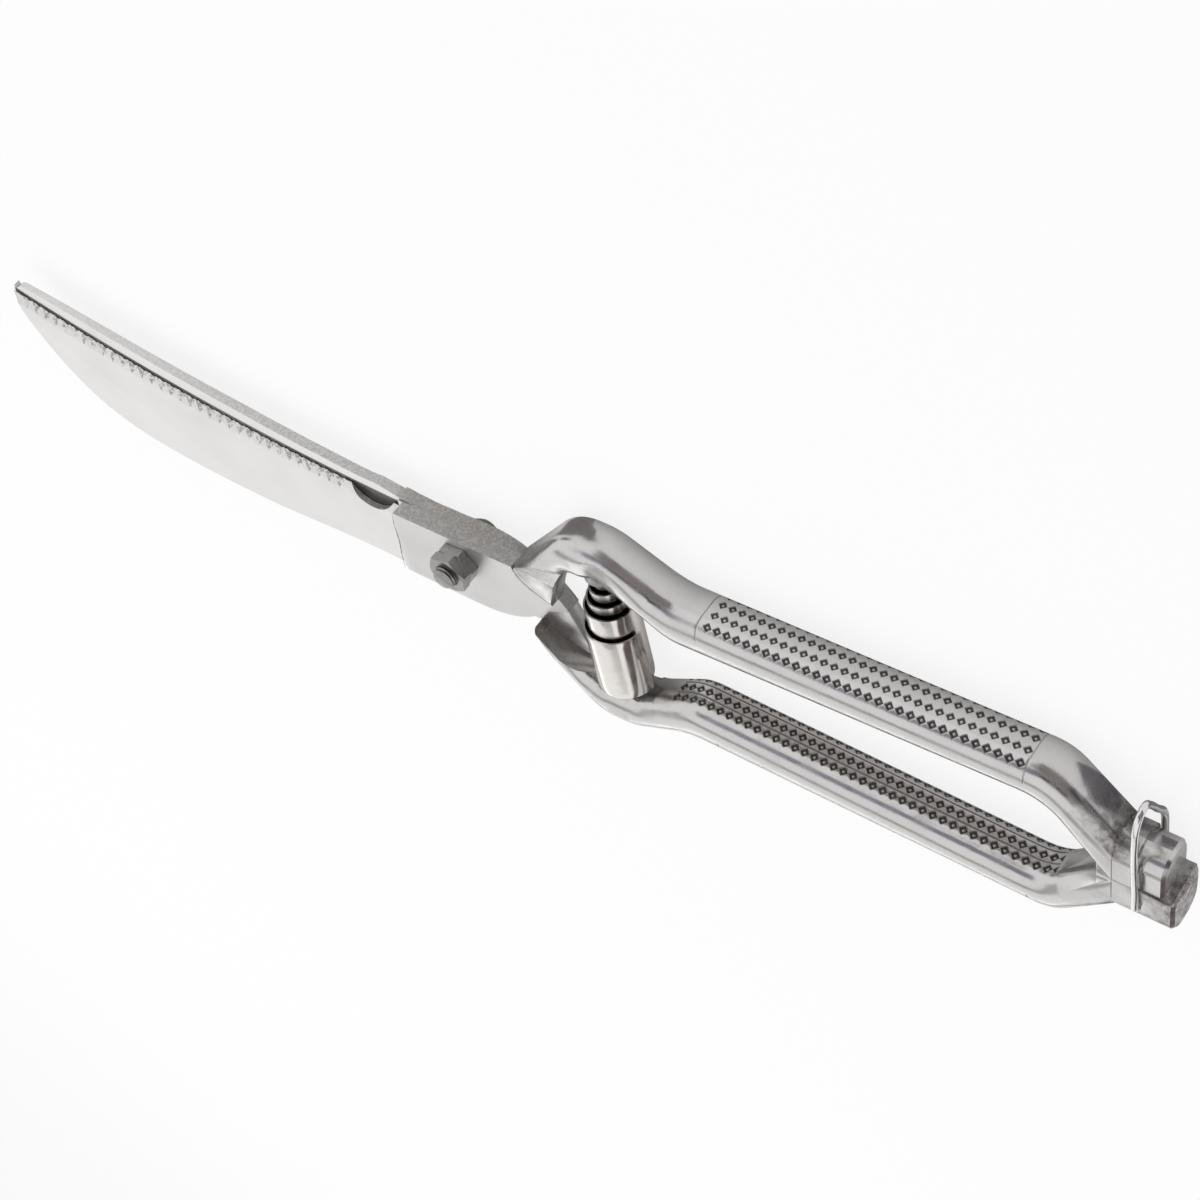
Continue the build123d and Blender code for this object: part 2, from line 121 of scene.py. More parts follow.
class ShearsGrip(bpy.types.PropertyGroup):
    """Pressed grip panels of the handles."""
    pit_pitch: FloatProperty(
        name="Pit pitch", description="Distance from pit to pit along the handle",
        subtype="DISTANCE", default=2.035 * MM, min=1.2 * MM, max=4 * MM, precision=5)
    pit_size: FloatProperty(
        name="Pit size", description="Half the diagonal of one diamond pit",
        subtype="DISTANCE", default=0.97 * MM, min=0.3 * MM, max=1.2 * MM, precision=5)
    pit_depth: FloatProperty(
        name="Pit depth", description="Depth of one pit",
        subtype="DISTANCE", default=0.30 * MM, min=0, max=0.6 * MM, precision=5)
    mesh_step: FloatProperty(
        name="Mesh step", description="Size of the mesh that carries the pits",
        subtype="DISTANCE", default=0.16 * MM, min=0.08 * MM, max=0.5 * MM, precision=5)


class ShearsSpring(bpy.types.PropertyGroup):
    """Volute spring between the arches."""
    turns: IntProperty(
        name="Turns", description="Turns of the strip", default=5, min=3, max=8)
    strip: FloatProperty(
        name="Strip", description="Thickness of the spring strip",
        subtype="DISTANCE", default=0.45 * MM, min=0.2 * MM, max=0.8 * MM, precision=5)


class ShearsStage(bpy.types.PropertyGroup):
    """Studio round the shears."""
    world_strength: FloatProperty(
        name="World", description="Light that comes from all round",
        default=0.75, min=0, max=3)
    key_power: FloatProperty(
        name="Key", description="Power of the large soft lamp over the blades",
        subtype="POWER", default=2.4, min=0, max=100)


class ShearsSettings(bpy.types.PropertyGroup):
    """All settings of the shears."""
    finish: PointerProperty(type=ShearsFinish)
    grip: PointerProperty(type=ShearsGrip)
    spring: PointerProperty(type=ShearsSpring)
    stage: PointerProperty(type=ShearsStage)


def settings():
    return bpy.context.scene.shears


# Steels

class Steel:
    """A metal's node tree, built up a layer at a time in the object's own millimetres."""

    def __init__(self, name, colour, roughness):
        self.material = bpy.data.materials.new(name)
        self.material.use_nodes = True
        self.tree = self.material.node_tree
        self.shader = self.tree.nodes["Principled BSDF"]
        self.shader.inputs["Metallic"].default_value = 1.0
        self.place = self.tree.nodes.new("ShaderNodeTexCoord").outputs["Object"]
        # colour and roughness start as node outputs, so that layers can go over them
        self.colour = self.mix_colour(0.0, (*colour, 1), (*colour, 1))
        self.roughness = self.math("ADD", roughness, 0.0)
        self.height = None

    def node(self, kind, **values):
        made = self.tree.nodes.new(kind)
        for key, value in values.items():
            setattr(made, key, value)
        return made

    def set(self, socket, value):
        if isinstance(value, bpy.types.NodeSocket):
            self.tree.links.new(value, socket)
        else:
            socket.default_value = value

    def math(self, operation, a, b=0.0, c=0.0):
        made = self.node("ShaderNodeMath", operation=operation)
        for socket, value in zip(made.inputs, (a, b, c)):
            self.set(socket, value)
        return made.outputs[0]

    def mix_colour(self, factor, a, b):
        made = self.node("ShaderNodeMix", data_type="RGBA", clamp_factor=True)
        self.set(made.inputs["Factor"], factor)
        # a mix node's sockets 6, 7 and 2 are the ones for colours
        self.set(made.inputs[6], a)
        self.set(made.inputs[7], b)
        return made.outputs[2]

    def noise(self, size_mm, detail=3.0, roughness=0.55, stretch=(1, 1, 1)):
        """Noise whose features are about size_mm across, stretched along an axis."""
        scale = self.node("ShaderNodeMapping")
        self.set(scale.inputs["Vector"], self.place)
        scale.inputs["Scale"].default_value = [1 / MM / size_mm / s for s in stretch]
        made = self.node("ShaderNodeTexNoise")
        self.set(made.inputs["Vector"], scale.outputs[0])
        made.inputs["Scale"].default_value = 1.0
        made.inputs["Detail"].default_value = detail
        made.inputs["Roughness"].default_value = roughness
        return made.outputs["Fac"]

    def range(self, value, low, high, to_low=0.0, to_high=1.0):
        """Goes smoothly from to_low at low to to_high at high."""
        made = self.node("ShaderNodeMapRange", interpolation_type="SMOOTHSTEP")
        for socket, number in zip(made.inputs, (value, low, high, to_low, to_high)):
            self.set(socket, number)
        return made.outputs[0]

    def along(self, axis):
        """The object's own X, Y or Z."""
        made = self.node("ShaderNodeSeparateXYZ")
        self.set(made.inputs[0], self.place)
        return made.outputs[axis]

    def facing(self, axis):
        """The surface normal's share of one of the object's axes."""
        turned = self.node("ShaderNodeVectorTransform", vector_type="NORMAL",
                           convert_from="WORLD", convert_to="OBJECT")
        self.set(turned.inputs[0], self.node("ShaderNodeNewGeometry").outputs["Normal"])
        made = self.node("ShaderNodeSeparateXYZ")
        self.set(made.inputs[0], turned.outputs[0])
        return made.outputs[axis]

    def attribute(self, name):
        """A value that the mesh itself carries."""
        return self.node("ShaderNodeAttribute", attribute_name=name).outputs["Fac"]

    def tint(self, factor, colour):
        """Lays a colour over what is there, where factor is 1."""
        self.colour = self.mix_colour(factor, self.colour, (*colour, 1))

    def roughen(self, factor, amount):
        """Adds amount to the roughness, where factor is 1."""
        self.roughness = self.math("MULTIPLY_ADD", factor, amount, self.roughness)

    def raise_by(self, value, height_mm):
        """Adds bump: value 1 stands height_mm proud."""
        step = self.math("MULTIPLY", value, height_mm * MM)
        self.height = step if self.height is None else self.math("ADD", self.height, step)

    def finish(self, brushed=0.0):
        """Joins the layers to the shader and gives the material."""
        self.set(self.shader.inputs["Base Color"], self.colour)
        self.set(self.shader.inputs["Roughness"],
                 self.math("MINIMUM", self.math("MAXIMUM", self.roughness, 0.04), 1.0))
        self.shader.inputs["Anisotropic"].default_value = brushed
        if self.height is not None:
            bump = self.node("ShaderNodeBump")
            bump.inputs["Strength"].default_value = 1.0
            bump.inputs["Distance"].default_value = 1.0
            self.set(bump.inputs["Height"], self.height)
            self.set(self.shader.inputs["Normal"], bump.outputs[0])
        return self.material


def circle_through(a, b, c):
    """Centre and radius of the circle through three places."""
    (ax, ay), (bx, by), (cx, cy) = a, b, c
    twice = 2 * (ax * (by - cy) + bx * (cy - ay) + cx * (ay - by))
    x = ((ax * ax + ay * ay) * (by - cy) + (bx * bx + by * by) * (cy - ay)
         + (cx * cx + cy * cy) * (ay - by)) / twice
    y = ((ax * ax + ay * ay) * (cx - bx) + (bx * bx + by * by) * (ax - cx)
         + (cx * cx + cy * cy) * (bx - ax)) / twice
    return (x, y), math.hypot(ax - x, ay - y)


# the front blade's cutting edge is an arc through three places
EDGE_NEAR_TIP = (-111.95 * MM, 18.62 * MM)
EDGE_MIDDLE = (-71.97 * MM, 9.73 * MM)
EDGE_AT_NOTCH = (-30.60 * MM, 4.78 * MM)
EDGE_CENTRE, EDGE_RADIUS = circle_through(EDGE_NEAR_TIP, EDGE_MIDDLE, EDGE_AT_NOTCH)

# a finish comes in along the blade from the first place of each pair to the second
BOSS_X = (-19.0 * MM, -14.0 * MM)
FORGED_X = (-115.0 * MM, -20.0 * MM)
TEETH_X = (-26.0 * MM, -30.0 * MM)
BLADE_GAP_SHADE_X = (-13.0 * MM, -17.0 * MM)
NOTCH_X = (-30.0 * MM, -28.0 * MM)
NOTCH_DEPTH = 4.2 * MM
# the painted shade between the blades comes in between these distances inside the edge's arc,
# from both sides
BLADE_GAP_SHADE_FROM_SPINE = (1.25 * MM, 0.8 * MM)
BLADE_GAP_SHADE_FROM_EDGE = (-0.7 * MM, -0.2 * MM)
BLADE_GAP_SHADE_LEVEL_EASE = 0.02 * MM


def darker(colour, share):
    return tuple(value * share for value in colour)


def inside_edge(steel):
    """How far a place on the blades lies inside the arc of the cutting edge."""
    squares = [steel.math("POWER", steel.math("SUBTRACT", steel.along(axis), centre), 2.0)
               for axis, centre in enumerate(EDGE_CENTRE)]
    return steel.math("SUBTRACT", EDGE_RADIUS, steel.math("SQRT", steel.math("ADD", *squares)))


def shade_between_blades(steel, x):
    """Painted shade of the gap on the back blade, where the front blade's edge lies on it."""
    beyond = inside_edge(steel)
    under_front = steel.range(steel.along(2), mid_z + BLADE_GAP_SHADE_LEVEL_EASE, mid_z - BLADE_GAP_SHADE_LEVEL_EASE)
    film_and_shade = steel.math("MULTIPLY", steel.range(beyond, *BLADE_GAP_SHADE_FROM_SPINE),
                      steel.math("MULTIPLY", under_front, steel.range(x, *BLADE_GAP_SHADE_X)))
    in_notch = steel.range(x, *NOTCH_X, 0.0, NOTCH_DEPTH)
    return steel.math("MULTIPLY", film_and_shade, steel.range(
        steel.math("ADD", beyond, in_notch), *BLADE_GAP_SHADE_FROM_EDGE))


def groove_wall_shade(steel, x, flat):
    """Uneven painted shade on the walls of the grooves that were filed between the teeth."""
    walls = steel.range(steel.math("ABSOLUTE", steel.facing(0)), 0.06, 0.3)
    outer_face = steel.range(flat, 0.3, 0.6)
    filed = steel.math("MULTIPLY", walls, steel.math(
        "MULTIPLY", outer_face, steel.range(x, *TEETH_X)))
    patchy = steel.range(steel.noise(0.7, detail=3.0), 0.40, 0.60, 0.12, 0.75)
    return steel.math("MULTIPLY", filed, patchy)


def blade_steel():
    """Hollow ground and polished blade, satin boss, rough forged top edge."""
    finish = settings().finish
    steel = Steel("ground_blade_steel", finish.blade_colour, 0.20)
    x = steel.along(0)
    flat = steel.math("ABSOLUTE", steel.facing(2))
    # the boss behind the shoulder is only sanded
    boss = steel.range(x, *BOSS_X)
    steel.tint(steel.math("MULTIPLY", boss, 0.55), darker(finish.blade_colour, 0.88))
    steel.roughen(boss, 0.22)
    # the edges that were never ground keep their forged pores
    edge = steel.math("SUBTRACT", 1.0, steel.range(flat, 0.35, 0.75))
    forged = steel.math("MULTIPLY", edge, steel.range(x, *FORGED_X, 0.35, 1.0))
    pores = steel.noise(0.55, detail=6.0, roughness=0.7)
    steel.tint(steel.math("MULTIPLY", forged, steel.range(pores, 0.42, 0.62, 0.5, 0.1)),
               darker(finish.blade_colour, 0.4))
    steel.roughen(forged, 0.28)
    steel.raise_by(steel.math("MULTIPLY", forged, pores), 0.16)
    # painted shade on the walls of the filed grooves between the teeth
    steel.tint(groove_wall_shade(steel, x, flat), darker(finish.blade_colour, 0.25))
    # painted shade of the gap on the back blade, where the front blade's edge lies on it
    steel.tint(steel.math("MULTIPLY", shade_between_blades(steel, x), 0.96),
               finish.grime_and_shade_colour)
    # fine grinding lines run across the blade
    lines = steel.noise(0.10, detail=2.0, stretch=(1, 60, 60))
    steel.raise_by(lines, 0.0012)
    steel.roughen(steel.range(steel.noise(9.0, detail=4.0), 0.35, 0.7), 0.07)
    steel.tint(steel.range(steel.noise(26.0, detail=2.0), 0.35, 0.75, 0.0, 0.18),
               darker(finish.blade_colour, 0.8))
    return steel.finish(brushed=0.3)


# colour of the painted shade in the handles' necks and roots, and of the lower handle's raw end
SHADE_AND_RAW_END_COLOUR = (0.10, 0.08, 0.075)


def handle_steel():
    """Satin cast handles, with painted shade in the pits, pressed lines and corners."""
    finish = settings().finish
    steel = Steel("satin_cast_steel", finish.handle_colour, 0.17)
    cast = steel.noise(1.4, detail=5.0, roughness=0.62)
    steel.raise_by(cast, 0.02)
    steel.raise_by(steel.noise(7.0, detail=2.0), 0.10)
    steel.roughen(steel.range(steel.noise(5.0, detail=5.0), 0.3, 0.75), 0.12)
    steel.tint(steel.range(steel.noise(3.0, detail=6.0, roughness=0.7), 0.5, 0.8, 0.0, 0.25),
               darker(finish.handle_colour, 0.7))
    # painted shade in the pits and the pressed lines
    pit = steel.attribute("pit")
    steel.tint(steel.math("MULTIPLY", pit, 0.94), finish.grime_and_shade_colour)
    steel.roughen(pit, 0.3)
    # painted shade in the necks and roots, and the lower handle's darker raw end
    shade_and_raw_end = steel.math("MULTIPLY", steel.attribute("shade_and_raw_end"),
                       steel.range(steel.noise(1.6, detail=6.0, roughness=0.75),
                                   0.38, 0.62, 0.35, 1.0))
    steel.tint(shade_and_raw_end, SHADE_AND_RAW_END_COLOUR)
    steel.roughen(shade_and_raw_end, 0.22)
    return steel.finish()


def fastener_steel():
    """Dull turned bolt, nuts and pegs, with painted shade in the thread's grooves."""
    finish = settings().finish
    steel = Steel("turned_steel", finish.fastener_colour, 0.27)
    steel.raise_by(steel.noise(0.5, detail=5.0), 0.012)
    steel.roughen(steel.range(steel.noise(1.2, detail=5.0), 0.3, 0.7), 0.14)
    steel.tint(steel.range(steel.noise(0.9, detail=6.0, roughness=0.7), 0.48, 0.75, 0.0, 0.55),
               darker(finish.fastener_colour, 0.4))
    # painted shade in the thread's grooves
    steel.tint(steel.math("MULTIPLY", steel.attribute("thread"), 0.75), finish.grime_and_shade_colour)
    return steel.finish()


def spring_steel():
    """Bright rolled strip, with painted shade inside its turns."""
    finish = settings().finish
    steel = Steel("rolled_spring_steel", finish.spring_colour, 0.12)
    steel.raise_by(steel.noise(0.25, detail=2.0, stretch=(40, 1, 40)), 0.0015)
    steel.roughen(steel.range(steel.noise(3.0, detail=4.0), 0.35, 0.7), 0.08)
    steel.tint(steel.range(steel.noise(2.2, detail=5.0), 0.5, 0.8, 0.0, 0.3),
               darker(finish.spring_colour, 0.7))
    # painted shade on the strip's inner side and on the inner turns
    steel.tint(steel.math("MULTIPLY", steel.attribute("inner"), 0.9), finish.grime_and_shade_colour)
    return steel.finish()


def wire_steel():
    """Bright drawn wire."""
    finish = settings().finish
    steel = Steel("drawn_wire_steel", finish.wire_colour, 0.13)
    steel.raise_by(steel.noise(0.2, detail=2.0, stretch=(1, 30, 1)), 0.002)
    steel.roughen(steel.range(steel.noise(1.5, detail=4.0), 0.35, 0.7), 0.10)
    steel.tint(steel.range(steel.noise(1.1, detail=5.0), 0.52, 0.8, 0.0, 0.35),
               darker(finish.wire_colour, 0.55))
    return steel.finish()


def wear(name, material):
    """Gives a node of the frame its finish."""
    piece = nodes[name]
    if not piece.material_slots:
        piece.data.materials.append(material)
    for own in piece.material_slots:
        own.material = material


def piece_of(name, mesh, material, body):
    """A piece made of a finished mesh, riding on its body if it has one."""
    mesh.materials.clear()
    mesh.materials.append(material)
    piece = bpy.data.objects.new(name, mesh)
    bpy.context.scene.collection.objects.link(piece)
    if body:
        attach(piece, body)
    return piece


def new_piece(name, points, faces, material, body):
    """A smooth piece made of points and faces."""
    mesh = bpy.data.meshes.new(name)
    mesh.from_pydata([tuple(point) for point in points], [], faces)
    mesh.update()
    mesh.shade_smooth()
    return piece_of(name, mesh, material, body)


def ring_quads(rings, around):
    """The faces between rings that have the same count of points."""
    quads = []
    for i in range(rings - 1):
        for k in range(around):
            a, b = i * around + k, i * around + (k + 1) % around
            quads.append((a, b, b + around, a + around))
    return quads


def float_attribute(mesh, name, values):
    layer = mesh.attributes.new(name, "FLOAT", "POINT")
    layer.data.foreach_set("value", np.asarray(values, np.float32))


# Back blade with its slim spine

# place along the blade, how far the spine's line is ground down, how far it is thinned
SPINE_GRIND = np.array([
    (-118.0, 1.3, 0.0), (-105.0, 1.6, 0.0), (-90.0, 1.8, 0.0), (-57.0, 1.9, 0.2),
    (-45.0, 2.3, 0.35), (-35.0, 2.7, 0.5), (-24.0, 3.5, 0.65), (-20.5, 3.4, 0.65),
    (-15.0, 1.4, 0.4), (-12.0, 0.5, 0.3), (-6.0, 0.1, 0.1), (4.0, 0.2, 0.0),
    (12.0, 0.0, 0.0)]) * MM
# the spine is what stands this far inside the edge, and above this line on the boss
SPINE_INSIDE_EDGE = 2.2 * MM
SPINE_ON_BOSS_X = -21.0 * MM
SPINE_ON_BOSS_Y = 4.2 * MM
SPINE_THINNED = 2.4 * MM
SPINE_SHARP_ANGLE = math.radians(18)
FLAT_ANGLE = math.radians(0.2)


def on_spine(x, y):
    """Whether a place on the back blade belongs to its spine."""
    if x >= SPINE_ON_BOSS_X:
        return y > SPINE_ON_BOSS_Y
    inside = EDGE_RADIUS - math.hypot(x - EDGE_CENTRE[0], y - EDGE_CENTRE[1])
    return inside > SPINE_INSIDE_EDGE


def slim_back_blade(material):
    """The back blade with its spine ground down to one slim, even line."""
    places, drops, thins = SPINE_GRIND.T
    bm = bmesh.new()
    bm.from_mesh(nodes["back_blade"].data)
    bmesh.ops.remove_doubles(bm, verts=bm.verts, dist=SAME_PLACE)
    bmesh.ops.dissolve_limit(bm, angle_limit=FLAT_ANGLE, verts=bm.verts, edges=bm.edges)
    for vertex in bm.verts:
        x, y, z = vertex.co
        if x > places[-1] or not on_spine(x, y):
            continue
        outer = min(1.0, max(0.0, (back_high[2] - z) / SPINE_THINNED))
        vertex.co.y = y - np.interp(x, places, drops)
        vertex.co.z = z + np.interp(x, places, thins) * outer
    bmesh.ops.triangulate(bm, faces=bm.faces)
    mesh = bpy.data.meshes.new("slim_back_blade")
    bm.to_mesh(mesh)
    bm.free()
    mesh.shade_smooth()
    mesh.set_sharp_from_angle(angle=SPINE_SHARP_ANGLE)
    piece = piece_of("slim_back_blade", mesh, material, "back_half")
    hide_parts("back_blade")


# Dark lines along the seams that are filed flush

# places in millimetres along the line where a palm meets its blade, and at the shoulder
PALM_SEAM = ((13.8, 5.75), (14.3, 4.3), (15.0, 2.9), (16.3, 1.7), (18.1, 0.6), (22.0, -1.25))
SHOULDER_SEAM = ((-15.3, 5.6), (-15.9, 2.0), (-16.1, -3.0), (-16.9, -8.0), (-17.3, -11.9))
SEAM_WIDTH = 0.20 * MM
SEAM_PROUD = 0.02 * MM


def dark_film():
    """Dark film of polish and dirt that stays in the seams."""
    film_and_shade = Steel("seam_film", settings().finish.grime_and_shade_colour, 0.5)
    film_and_shade.tint(film_and_shade.range(film_and_shade.noise(1.2, detail=4.0), 0.42, 0.62, 0.0, 0.5),
              settings().finish.blade_colour)
    film_and_shade.raise_by(film_and_shade.noise(0.2), 0.004)
    return film_and_shade.finish()


def seam_line(name, places, z, body, material, turned=False):
    """A thin flat line of film over a seam; turned over for the back of the shears."""
    points, faces = [], []
    last = len(places) - 1
    for i, place in enumerate(places):
        before, after = places[max(i - 1, 0)], places[min(i + 1, last)]
        along = (Vector(after) - Vector(before)).normalized()
        # the line runs out thin at both ends
        wide = SEAM_WIDTH / 2 * min(1.0, 0.35 + min(i, last - i))
        for side in (1, -1):
            x, y = place[0] * MM - side * along.y * wide, place[1] * MM + side * along.x * wide
            points.append((x, -y if turned else y, z))
    for i in range(last):
        faces.append((2 * i, 2 * i + 1, 2 * i + 3, 2 * i + 2))
    new_piece(name, points, faces, material, body)


# Handles with their pressed grip panels

BAR_CORNER = 3.3 * MM
BAR_HALF_WIDTH = (upper_high[2] - upper_low[2]) / 2
SLEEVE_START_X = 45.6 * MM
SLEEVE_END_X = 128.4 * MM
OUTER_PANEL_X = (57.4 * MM, 121.6 * MM)
OUTER_PIT_X = (59.45 * MM, 120.6 * MM)
INNER_PIT_X = (46.5 * MM, 127.2 * MM)
OUTER_ROW_OFFSETS = (-4.46 * MM, -1.80 * MM, 0.86 * MM, 3.52 * MM)
INNER_ROW_OFFSETS = (-3.85 * MM, -0.95 * MM, 1.60 * MM)
INNER_GROOVE_OFFSETS = (-2.35 * MM, 0.32 * MM)
GROOVE_WIDTH = 0.16 * MM
PANEL_LINE_DEPTH = 0.14 * MM
PANEL_LINE_REACH = 7.2 * MM
INNER_GROOVE_DEPTH = 0.16 * MM
INNER_GROOVE_X = (INNER_PIT_X[0] - 0.6 * MM, INNER_PIT_X[1] + 0.4 * MM)
INNER_PIT_SHARE = 1.08
LINE_STEP = 0.5 * MM
PROBE_EVERY = 8
SLEEVE_EASE = 2.5 * MM
FLANK_POINTS = 4

# the bars are a little crowned: how far their normals lean, and where along the shears
CROWN = 0.9
CROWN_STARTS_X = (20.0 * MM, 29.0 * MM)
CROWN_ENDS_X = (136.0 * MM, 141.0 * MM)
CROWN_REACH = 5.2 * MM


def surface_of(mesh):
    """A search tree of one mesh, with its points, triangles and corner normals."""
    mesh.calc_loop_triangles()
    points = [vertex.co.copy() for vertex in mesh.vertices]
    triangles = [tuple(tri.vertices) for tri in mesh.loop_triangles]
    loops = [tuple(tri.loops) for tri in mesh.loop_triangles]
    normals = [Vector(corner.vector) for corner in mesh.corner_normals]
    return BVHTree.FromPolygons(points, triangles), points, triangles, loops, normals


def normal_at(surface, point):
    """The smooth normal of the frame's own surface nearest to a point."""
    tree, points, triangles, loops, normals = surface
    place, flat, index, _ = tree.find_nearest(point)
    a, b, c = (points[i] for i in triangles[index])
    area = (b - a).cross(c - a)
    if area.length_squared < 1e-24:
        return flat
    weights = [(c - b).cross(place - b).dot(area), (a - c).cross(place - c).dot(area),
               (b - a).cross(place - a).dot(area)]
    total = sum(weights)
    blend = Vector((0, 0, 0))
    for weight, loop in zip(weights, loops[index]):
        blend += normals[loop] * (weight / total)
    return blend.normalized()


def smoothed(values, passes):
    """Evens out a row of values and keeps its two ends."""
    for _ in range(passes):
        values[1:-1] = (values[:-2] + 2 * values[1:-1] + values[2:]) / 4
    return values


def bar_line(tree, outward):
    """X, Y and length along the bar's middle line, at even steps of X."""
    count = int(round((SLEEVE_END_X - SLEEVE_START_X) / LINE_STEP)) + 5
    xs = np.linspace(SLEEVE_START_X - 2 * LINE_STEP, SLEEVE_END_X + 2 * LINE_STEP, count)
    centres = []
    for x in xs:
        far = Vector((x, meet_y + outward * 80 * MM, mid_z))
        out = tree.ray_cast(far, Vector((0, -outward, 0)))[0]
        inn = tree.ray_cast(Vector((x, meet_y, mid_z)), Vector((0, outward, 0)))[0]
        if out is None or inn is None:
            raise RuntimeError(f"no handle bar at X {x:.4f}")
        centres.append(((out + inn) / 2).y)
    centres = smoothed(np.array(centres), 3)
    length = np.concatenate([[0], np.cumsum(np.hypot(np.diff(xs), np.diff(centres)))])
    return xs, centres, length


def pit_profile(reach):
    """Depth share across a pit: 0 at the rim, 1 in the ring, a low peak in the middle."""
    rim = np.clip((1.0 - reach) / 0.34, 0, 1)
    peak = np.clip((0.42 - reach) / 0.42, 0, 1)
    return rim * rim * (3 - 2 * rim) - 0.75 * peak * peak * (3 - 2 * peak)


def grip_depth(x, round_offset, outer):
    """Pressed depth and painted shade at places on one side of the bar.

    round_offset runs round the bar from its middle line towards the nuts.
    """
    grip = settings().grip
    rows = OUTER_ROW_OFFSETS if outer else INNER_ROW_OFFSETS
    first, last = OUTER_PIT_X if outer else INNER_PIT_X
    depth = np.zeros_like(x)
    film_and_shade = np.zeros_like(x)
    column = np.clip(np.round((x - first) / grip.pit_pitch), 0,
                     math.floor((last - first) / grip.pit_pitch))
    across = np.abs(x - first - column * grip.pit_pitch)
    size = grip.pit_size * (1.0 if outer else INNER_PIT_SHARE)
    for row in rows:
        reach = (across + np.abs(round_offset - row)) / size
        depth = np.maximum(depth, grip.pit_depth * pit_profile(reach))
        film_and_shade = np.maximum(film_and_shade, np.clip((1.02 - reach) / 0.16, 0, 1)
                          * np.clip(1 - np.clip((0.40 - reach) / 0.22, 0, 1), 0, 1))
    if outer:
        for end in OUTER_PANEL_X:
            line = np.clip(1 - np.abs(x - end) / GROOVE_WIDTH, 0, 1)
            line = line * (np.abs(round_offset) < PANEL_LINE_REACH)
            depth = np.maximum(depth, PANEL_LINE_DEPTH * line)
            film_and_shade = np.maximum(film_and_shade, 0.85 * line)
    else:
        inside = (x > INNER_GROOVE_X[0]) & (x < INNER_GROOVE_X[1])
        for groove in INNER_GROOVE_OFFSETS:
            line = np.clip(1.3 - np.abs(round_offset - groove) / GROOVE_WIDTH, 0, 1) * inside
            depth = np.maximum(depth, INNER_GROOVE_DEPTH * line)
            film_and_shade = np.maximum(film_and_shade, 0.9 * line)
    return depth, film_and_shade


def bar_section(half_depth):
    """Round one section of the bar, a row for each point.

    A row holds its offsets outwards and up, the surface's share of each, the side
    (1 outer, -1 inner, 0 flank) and the distance round that side from its middle.
    """
    flat_n = half_depth - BAR_CORNER
    flat_z = BAR_HALF_WIDTH - BAR_CORNER
    arc = math.pi / 2 * BAR_CORNER
    side_length = 2 * arc + 2 * flat_z
    side_count = int(round(side_length / settings().grip.mesh_step))
    rows = []
    for side in (1, -1):
        for k in range(side_count + 1):
            along = side * (side_length * (0.5 - k / side_count))
            beyond = max(abs(along) - flat_z, 0)
            angle = math.copysign(beyond / BAR_CORNER, along)
            n = flat_n + BAR_CORNER * math.cos(angle)
            z = math.copysign(min(abs(along), flat_z), along) + BAR_CORNER * math.sin(angle)
            rows.append((side * n, z, side * math.cos(angle), math.sin(angle), side, along))
        for k in range(1, FLANK_POINTS + 1):
            n = flat_n * (1 - 2 * k / (FLANK_POINTS + 1))
            rows.append((side * n, -side * BAR_HALF_WIDTH, 0, -side, 0, 0))
    return np.array(rows)


def pressed_section(centre, normal, outer_half, inner_half, outward):
    """One section with its pits pressed in: points, painted shade and leans."""
    section = bar_section((outer_half + inner_half) / 2)
    n, z, n_share, z_share, side, offset = section.T
    x = centre.x + normal.x * n
    # the lower handle is the upper one turned over, so its pattern is turned too
    depth_out, shade_outer_side = grip_depth(x, offset * outward, True)
    depth_in, shade_inner_side = grip_depth(x, -offset * outward, False)
    depth = np.where(side > 0, depth_out, np.where(side < 0, depth_in, 0))
    film_and_shade = np.where(side > 0, shade_outer_side, np.where(side < 0, shade_inner_side, 0))
    points = np.stack([x - normal.x * n_share * depth,
                       centre.y + normal.y * n - normal.y * n_share * depth,
                       mid_z + z - z_share * depth], axis=1)
    level = np.clip(n / outer_half, -1, 1)
    leans = np.stack([normal.x * level, normal.y * level, z / BAR_HALF_WIDTH], axis=1)
    return points, film_and_shade, leans


def ease_on_to_bar(points, stations, around, tree):
    """Towards each end the sleeve eases on to the frame's own surface."""
    for i, station in enumerate(stations):
        share = 1 - min(station - stations[0], stations[-1] - station) / SLEEVE_EASE
        if share <= 0:
            continue
        for k in range(i * around, (i + 1) * around):
            near = tree.find_nearest(Vector(points[k]))[0]
            points[k] += (np.array(near) - points[k]) * share


